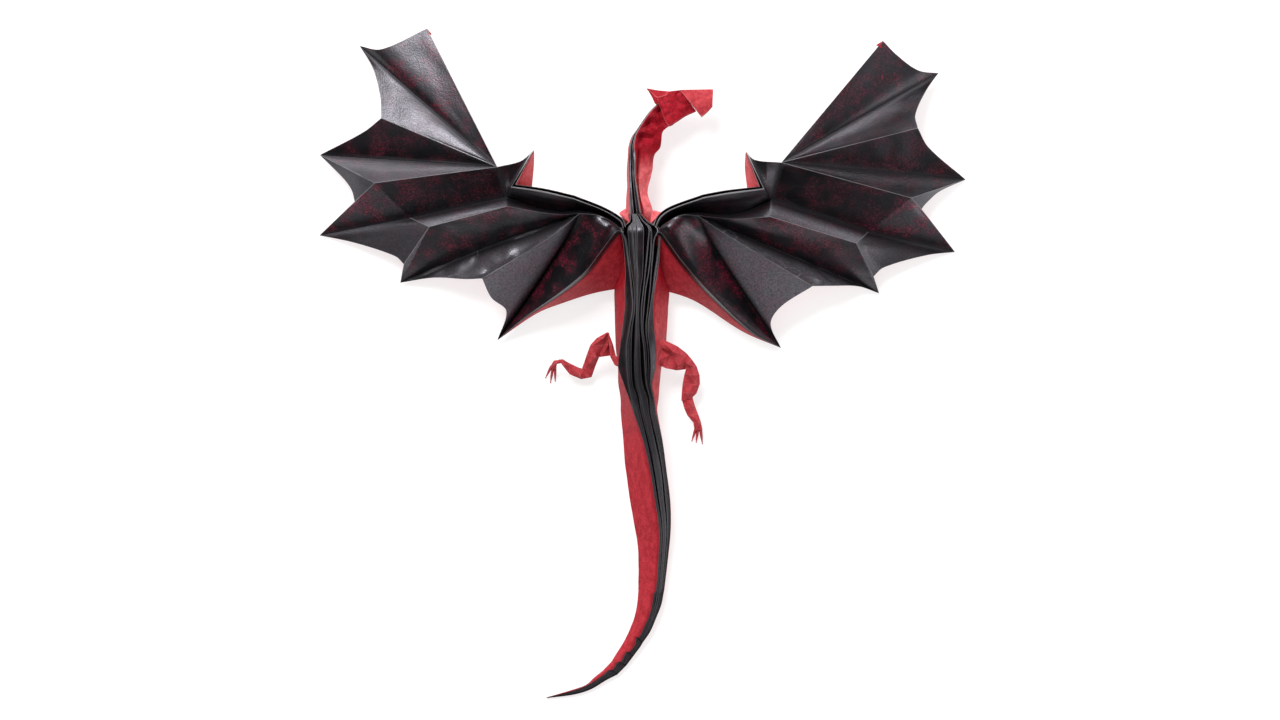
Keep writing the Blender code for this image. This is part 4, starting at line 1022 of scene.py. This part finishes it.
def tail_rows():
    """The sections beyond the bend, where the gaps between the layers open."""
    for left, border, right, heights in crimped(TAIL_END):
        xs = (left[0], border[0], right[0], right[0])
        ys = (left[1], border[1], right[1], right[1])
        high = (heights[0], heights[1], heights[2], heights[2] * 0.92)
        yield four_points(xs, ys, high), 0.2, TAIL_LAYERS, (0.5, 0.75), 0.0


def trunk_rows():
    for xs, y, heights, crown, layers in TRUNK:
        lean = min(max(-y / 60, 0.0), 1.0)
        feet = (0.06 + 0.44 * lean, 0.94 - 0.19 * lean)
        yield four_points(xs, y, heights), crown, layers, feet, 0.0


def neck_rows():
    for number, (xs, ys, heights, crown) in enumerate(NECK):
        lift = min(1.2 * number, 11.0)
        deep = min(max((6 - number) / 3, 0.0), 1.0)
        crimp = NECK_CRIMP * (1 - deep) * (1 if number % 2 else -1)
        side = [(share, swell * deep + crimp * way, kind)
                for (share, swell, kind), way in zip(NECK_SIDE, (0.2, 0.6, 1.0, -0.4))]
        yield four_points(xs, ys, heights), crown, NECK_LAYERS, (0.2, 0.8), lift, side


def make_body(name, rows, seed, crumple, painted_lights):
    made = [section(*row) for row in rows]
    return sweep(name, [points for points, _ in made], made[0][1], seed, crumple, painted_lights)


# %% Make trunk, tail and neck


def trunk_painted_light(y, right):
    """Painted light on the red: the right flank is painted pale, and more so along the tail."""
    return np.where(right, 0.35 * rise(45 - y, 25), 0.03 + 0.07 * rise(-y, 60))


def neck_painted_light(y, right):
    """Painted light: the right side is painted pale near the shoulders and deep towards the
    head.
    """
    return np.where(right, rise(106 - y, 16), 0.6)


trunk = make_body("trunk_and_tail_paper", [*trunk_rows(), *tail_rows()], 21, 0.05,
                  trunk_painted_light)
neck = make_body("neck_paper", neck_rows(), 25, 0.5, neck_painted_light)

# %% [markdown]
# Strips
#
# Head, legs and toes are strips of the sheet folded lengthwise: an edge, a crease and
# another edge. One function lays such a strip through measured stations, each with
# its edges and creases, and gives it the paper's thickness.

# %% A folded strip


# a strip's red is painted pale pink by the given amount, which is painted light; the pale line
# along its folds is partly wear and partly painted highlight
def strip(name, stations, lines, seed, step=0.8, across=5, ripple=0.12, curved=True,
          painted_light=0.15, crumple=0.3, wear_and_highlight=0.5, specks=0.1, folds_across=False):
    """A sheet through stations of points across it. lines: kind of each point."""
    rows = between([np.array(s, dtype=float) for s in stations], step, curved)
    parts = np.linspace(0, 1, across + 1)[:-1]
    shares = [(i, t) for i in range(rows.shape[1] - 1) for t in parts]
    grid = np.array([[r[i] * (1 - t) + r[i + 1] * t for i, t in shares] + [r[-1]]
                     for r in rows])
    creases = {kind: [rows[:, i] for i, k in enumerate(lines) if k == kind]
               for kind in ("mountain", "valley")}
    creases["mountain"] += [rows[0], rows[-1]]
    if folds_across:
        creases["mountain"] += [np.array(s, dtype=float) for s in stations[1:-1]]
    count, wide = grid.shape[:2]
    points = grid.reshape(-1, 3)
    faces = [(r * wide + i, (r + 1) * wide + i, (r + 1) * wide + i + 1, r * wide + i + 1)
             for r in range(count - 1) for i in range(wide - 1)]
    to_mountain = distance_to(points, creases["mountain"])
    to_valley = distance_to(points, creases["valley"])
    away = rise(np.minimum(to_mountain, to_valley), 2.0)
    points = points + np.outer(ripple * 4 * away * wave(points, 5, seed), (0, 0, 1))
    piece = make_piece(name, points, faces, [RED] * len(faces))
    for material in (black, red, black):
        piece.data.materials.append(material)
    keep(piece, "mountain", to_mountain)
    keep(piece, "valley", to_valley)
    looks = {"specks": specks, "crumple": crumple, "painted_sheen": painted_light, "wear_and_highlight": wear_and_highlight}
    for label, value in looks.items():
        keep(piece, label, np.full(len(points), value))
    normals_up = sum(p.normal.z for p in piece.data.polygons) > 0
    if not normals_up:
        in_edit_mode(piece, bpy.ops.mesh.flip_normals)
    thick = piece.modifiers.new("paper", "SOLIDIFY")
    thick.thickness = SHEET * MM
    thick.offset = -1
    apply_modifiers(piece)
    return piece


def ridged(stations, ridge, zigzag=0.0):
    """Stations of (edge, edge, height) with a raised crease that may zigzag."""
    made = []
    for number, ((lx, ly), (rx, ry), height) in enumerate(stations):
        way = 1 if number % 2 else -1
        share = 0.5 + way * zigzag
        width = math.hypot(rx - lx, ry - ly)
        crest = height + min(ridge, width / 2) * (1 + 2 * way * zigzag)
        middle = (lx + (rx - lx) * share, ly + (ry - ly) * share, crest)
        tilt = 2.5 * way * zigzag
        made.append(((lx, ly, height + tilt), middle, (rx, ry, height - tilt)))
    return made


def join(name, parts, angle):
    """One piece from several, with crisp folds where it turns by more than the angle."""
    pick(*parts)
    bpy.ops.object.join()
    joined = bpy.context.active_object
    joined.name = joined.data.name = name
    smooth_by_angle(joined, angle)
    print(name, len(joined.data.polygons), "faces")
    return joined


# %% [markdown]
# The legs
#
# Each hind leg is a strip that is folded flat several times: thigh, shank and foot lie
# over one another at angles, and three slim points are the toes. A lengthwise ridge
# that leans left and right by turns gives the strip its flat facets. A bent tube would
# be quicker, but has no edges for the light to catch.

# %% Legs
LEG_RIDGE = 2.5         # height of the ridge along a leg
LEG_ZIGZAG = 0.26       # how far it leans, as a share of the width
TOE_WIDTH = 1.7
LEFT_LEG = (
    (((-16.2, 15.9), (-15.6, 15.4), 19.0), ((-21.5, 13.0), (-17.2, 12.8), 18.0),
     ((-24.8, 9.4), (-18.6, 9.4), 16.0), ((-26.6, 4.5), (-20.3, 3.5), 12.0),
     ((-29.0, -2.4), (-22.2, -1.0), 7.0), ((-26.4, -6.8), (-24.2, -6.6), 5.0)),
    (((-16.6, 15.3), (-15.6, 15.2), 17.0), ((-19.6, 9.5), (-14.8, 9.5), 14.5),
     ((-20.4, 3.4), (-14.6, 4.2), 12.5)),
    (((-16.4, 15.6), (-15.5, 15.4), 19.0), ((-15.4, 9.5), (-13.4, 9.7), 18.5),
     ((-14.8, 3.6), (-12.0, 4.2), 17.5), ((-12.6, -0.6), (-9.0, 0.6), 16.5),
     ((-8.0, -2.6), (-6.0, -1.0), 15.5)),
    (((-29.2, -2.2), (-25.0, -6.8), 5.5), ((-31.0, -1.6), (-29.4, -7.6), 6.0),
     ((-35.5, 0.6), (-35.0, -5.2), 7.5), ((-38.5, 2.4), (-38.0, -1.6), 9.0),
     ((-40.6, 2.3), (-39.6, 0.6), 9.0)),
    (((-39.0, 2.2), (-39.4, 0.4), 9.0), ((-43.0, 1.8), (-41.4, 0.0), 8.0),
     ((-45.0, -1.6), (-42.0, -2.6), 5.0)),
)
RIGHT_LEG = (
    (((6.0, 7.0), (6.0, 1.0), 15.5), ((11.0, 9.4), (9.0, -0.4), 15.0),
     ((16.5, 7.0), (13.0, -2.2), 14.0), ((20.5, 2.6), (18.4, -3.2), 13.0),
     ((24.0, 0.0), (23.0, -2.6), 12.0)),
    (((11.0, 12.5), (8.0, 10.0), 18.5), ((18.6, 8.9), (15.6, 5.2), 18.0),
     ((23.0, 5.6), (18.8, -0.7), 16.5), ((25.8, 2.4), (22.6, -0.6), 15.0),
     ((28.2, -1.0), (22.9, -2.6), 13.5), ((29.7, -5.5), (22.1, -5.2), 11.5),
     ((29.9, -9.9), (21.2, -9.9), 9.5), ((28.2, -14.7), (20.8, -14.5), 7.5),
     ((25.8, -17.0), (20.6, -18.4), 6.5)),
    (((20.8, -17.6), (26.2, -16.4), 5.5), ((22.0, -22.0), (27.3, -20.5), 6.0),
     ((23.6, -25.6), (29.0, -25.0), 6.0), ((26.7, -29.4), (30.4, -28.8), 5.0),
     ((27.2, -33.2), (31.2, -32.8), 3.6)),
)
LEFT_TOES = (
    ((-44.2, -1.0, 5.0), (-47.3, -7.2, 0.8)),
    ((-43.5, -1.5, 5.0), (-44.8, -9.7, 0.8)),
    ((-42.4, -1.6, 5.0), (-42.4, -8.9, 0.8)),
)
RIGHT_TOES = (
    ((28.0, -32.0, 3.6), (25.8, -38.8, 0.8)),
    ((29.0, -32.0, 3.6), (28.0, -39.5, 0.8)),
    ((30.2, -32.0, 3.6), (31.2, -40.2, 0.8)),
)


# %% Make both legs


def toe(number, root, tip):
    """A slim folded point."""
    root, tip = np.array(root), np.array(tip)
    along = (tip - root) / np.linalg.norm(tip - root)
    side = np.array((along[1], -along[0], 0.0))
    stations = []
    for share, width in ((0.0, TOE_WIDTH), (0.45, 0.85 * TOE_WIDTH), (1.0, 0.2 * TOE_WIDTH)):
        at = root + (tip - root) * share
        half = side * width / 2
        stations.append((at - half, at + (0, 0, 0.6 * width), at + half))
    return strip(f"toe_{number}", stations, ("mountain",) * 3, 3, across=3, ripple=0.0)


def leg(name, strips, toes, seed):
    # the legs' red is painted a little pale, which is painted light
    parts = [strip(f"{name}_{i}", ridged(stations, LEG_RIDGE, LEG_ZIGZAG),
                   ("mountain", "", "mountain"), seed + i, ripple=0.02, curved=False,
                   painted_light=0.26, crumple=0.1, wear_and_highlight=0.22, folds_across=True)
             for i, stations in enumerate(strips)]
    parts += [toe(i, *ends) for i, ends in enumerate(toes)]
    return join(name, parts, 10)


left_leg = leg("left_leg_paper", LEFT_LEG, LEFT_TOES, 31)
right_leg = leg("right_leg_paper", RIGHT_LEG, RIGHT_TOES, 37)

# %% [markdown]
# The head
#
# The head is the end of the neck strip turned over: two cheeks closed along the top
# and open at the jaw, a snout flap folded up from them, and two horns behind. They are
# strips like the legs, because a block carved to this shape would hide that the real
# head is open below. The cheeks are painted deep with a dark mottle and crease lines,
# which is painted shade, and the snout a little paler, which is painted light. Two small
# strips beside the neck, painted pale pink as painted light, are the shoulders.

# %% Head, horns and shoulders
# Crest and jaw in plan at each station, from the back to the tip of the snout.
CHEEKS = (
    ((8.2, 133.8), (9.6, 128.8), 17.6, 11.0, 18.6),
    ((11.5, 135.0), (13.9, 118.8), 17.8, 10.6, 19.4),
    ((15.0, 135.7), (18.0, 120.6), 17.8, 10.4, 18.6),
    ((18.0, 136.1), (22.4, 123.5), 17.6, 10.4, 17.2),
    ((20.2, 136.3), (27.9, 126.0), 17.4, 10.4, 15.6),
)
SNOUT = (
    ((19.9, 136.4), (30.6, 123.1), 18.4, 10.2, 19.6),
    ((28.3, 136.6), (33.4, 125.4), 17.4, 10.0, 20.6),
    ((36.4, 136.8), (36.0, 128.4), 16.6, 10.4, 19.8),
)
HORN = (
    ((3.5, 137.2), (3.7, 136.8), 0.0), ((6.2, 136.7), (6.0, 132.8), 0.4),
    ((9.0, 136.2), (8.0, 129.2), 0.8), ((14.5, 135.7), (12.0, 132.0), 0.6),
)
SHOULDERS = (
    (((-6.9, 77.4), (-6.4, 76.8), 25.0), ((-10.3, 74.7), (-6.0, 73.6), 25.5),
     ((-6.0, 70.6), (-5.0, 70.0), 26.0)),
    (((6.6, 76.4), (6.0, 75.6), 25.0), ((11.4, 74.7), (5.6, 73.0), 25.5),
     ((6.0, 70.2), (5.0, 69.8), 26.0)),
)


# %% Make the head


def wedge(name, stations, seed, painted_light):
    """Two faces closed at the crest and open at the jaw."""
    made = []
    for (cx, cy), (jx, jy), crest, low, high in stations:
        made.append(((jx, jy, low), ((cx + jx) / 2, (cy + jy) / 2, (crest + low) / 2 - 0.8),
                     (cx, cy, crest), ((cx + jx) / 2, (cy + jy) / 2, (crest + high) / 2 + 1.0),
                     (jx, jy, high)))
    # the less painted light, the more dark mottle and crease shade: painted shade on the cheeks
    return strip(name, made, ("mountain", "", "mountain", "", "mountain"), seed, across=6,
                 painted_light=painted_light, crumple=1.0 - 2 * painted_light, specks=1.0 - 3 * painted_light)


def horn(name, height):
    stations = [((*a, height + up), (*b, height + up)) for a, b, up in HORN]
    stations = [(a, ((a[0] + b[0]) / 2, (a[1] + b[1]) / 2, a[2] + 0.9), b)
                for a, b in stations]
    return strip(name, stations, ("mountain",) * 3, 44, across=4, painted_light=0.05)


# painted light: cheeks deep, snout a little pale, horns barely, shoulders pale pink
head = join("head_paper", [
    wedge("cheeks", CHEEKS, 41, 0.0), wedge("snout", SNOUT, 42, 0.22),
    horn("horn_low", 12.0), horn("horn_high", 17.0),
    *[strip(f"shoulder_{i}", ridged(s, 0.6), ("mountain",) * 3, 50 + i, painted_light=0.8)
      for i, s in enumerate(SHOULDERS)],
], 20)
pieces += [trunk, neck, left_leg, right_leg, head]

# %% [markdown]
# What each piece is
#
# Every piece moves with the one body of the model and takes the place of the solid,
# which is hidden, and a piece without materials yet gets the two papers.

# %% Papers on the pieces
for piece in pieces:
    if not piece.data.materials:
        for material in (black, red, black):
            piece.data.materials.append(material)
    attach(piece, "root")
    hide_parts(NODE)
print("pieces:", {piece.name: len(piece.data.polygons) for piece in pieces})

# %% [markdown]
# Floor, light and camera
#
# The model lies on a plain pale table and is photographed from straight above. A large
# soft window stands beyond the head on the left, a long low light beyond the head, and a
# weak one on the right, so panels that face them shine and those that face away stay
# dark. A room of white walls could light it evenly, but would show as a grey sheen on
# every panel. The table is lit from below, which keeps the shadows faint.

# %% Stage
GLOW = 0.62             # the pale table is lit from below, so that shadows stay faint
LENS = 200.0
SENSOR = 36.0
VIEW_WIDTH = 0.64       # metres of table that the picture shows from side to side
VIEW_SHIFT = 0.002      # the middle of the picture lies a little towards the head


def floor():
    """A wide pale surface under the model."""
    bpy.ops.object.select_all(action="DESELECT")
    bpy.ops.mesh.primitive_plane_add(size=8, location=(0, 0, 0))
    made = bpy.context.active_object
    made.name = "studio_floor"
    surface = Finish("pale_floor", 0.9, (1, 1, 1), 0.2, 1.5)
    shade = surface.noise(60.0, 2.0)
    surface.set("Base Color", surface.mix(shade, (0.44, 0.44, 0.44), (0.46, 0.46, 0.46)))
    surface.shader.inputs["Emission Color"].default_value = (1, 1, 1, 1)
    surface.shader.inputs["Emission Strength"].default_value = GLOW
    made.data.materials.append(surface.material)
    made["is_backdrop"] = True


def soft_light(name, place, width, depth, watts):
    """A wide area light aimed at the model."""
    lamp = bpy.data.lights.new(name, "AREA")
    lamp.shape = "RECTANGLE"
    lamp.size = width
    lamp.size_y = depth
    lamp.energy = watts
    holder = bpy.data.objects.new(name, lamp)
    bpy.context.collection.objects.link(holder)
    holder.location = place
    aim = Vector((0, 0.03, 0.02)) - Vector(place)
    holder.rotation_euler = aim.to_track_quat("-Z", "Y").to_euler()
    return holder


def camera():
    """Straight down from far away, so that plan distances keep their proportions."""
    view = bpy.data.cameras.new("photo_camera")
    view.lens = LENS
    view.sensor_width = SENSOR
    view.clip_end = 20.0
    holder = bpy.data.objects.new("photo_camera", view)
    bpy.context.collection.objects.link(holder)
    holder.location = (SHIFT[0] * MM, SHIFT[1] * MM + VIEW_SHIFT, VIEW_WIDTH * LENS / SENSOR)
    bpy.context.scene.camera = holder


floor()
soft_light("window_light", (-0.44, 1.02, 1.42), 0.8, 0.55, 28.0)
soft_light("front_light", (-0.20, 1.75, 0.45), 2.4, 0.45, 20.0)
soft_light("right_light", (1.65, -0.55, 0.55), 1.0, 0.5, 5.0)
world = bpy.data.worlds.new("white_room")
world.use_nodes = True
world.node_tree.nodes["Background"].inputs["Color"].default_value = (1, 1, 1, 1)
world.node_tree.nodes["Background"].inputs["Strength"].default_value = 0.68
world.cycles_visibility.glossy = False
bpy.context.scene.world = world
bpy.context.scene.view_settings.view_transform = "Standard"
camera()

# %% [markdown]
# Sizes
#
# The pieces have to fill the same box as the solid, or the two would not fit in one
# frame. The last cell gives both boxes: the solid's from the start, and that of
# everything that is shown now.

# %% The boxes of the solid and of what is shown
[[[float(v) for v in corner] for corner in box]
           for box in (cad_box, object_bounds())]
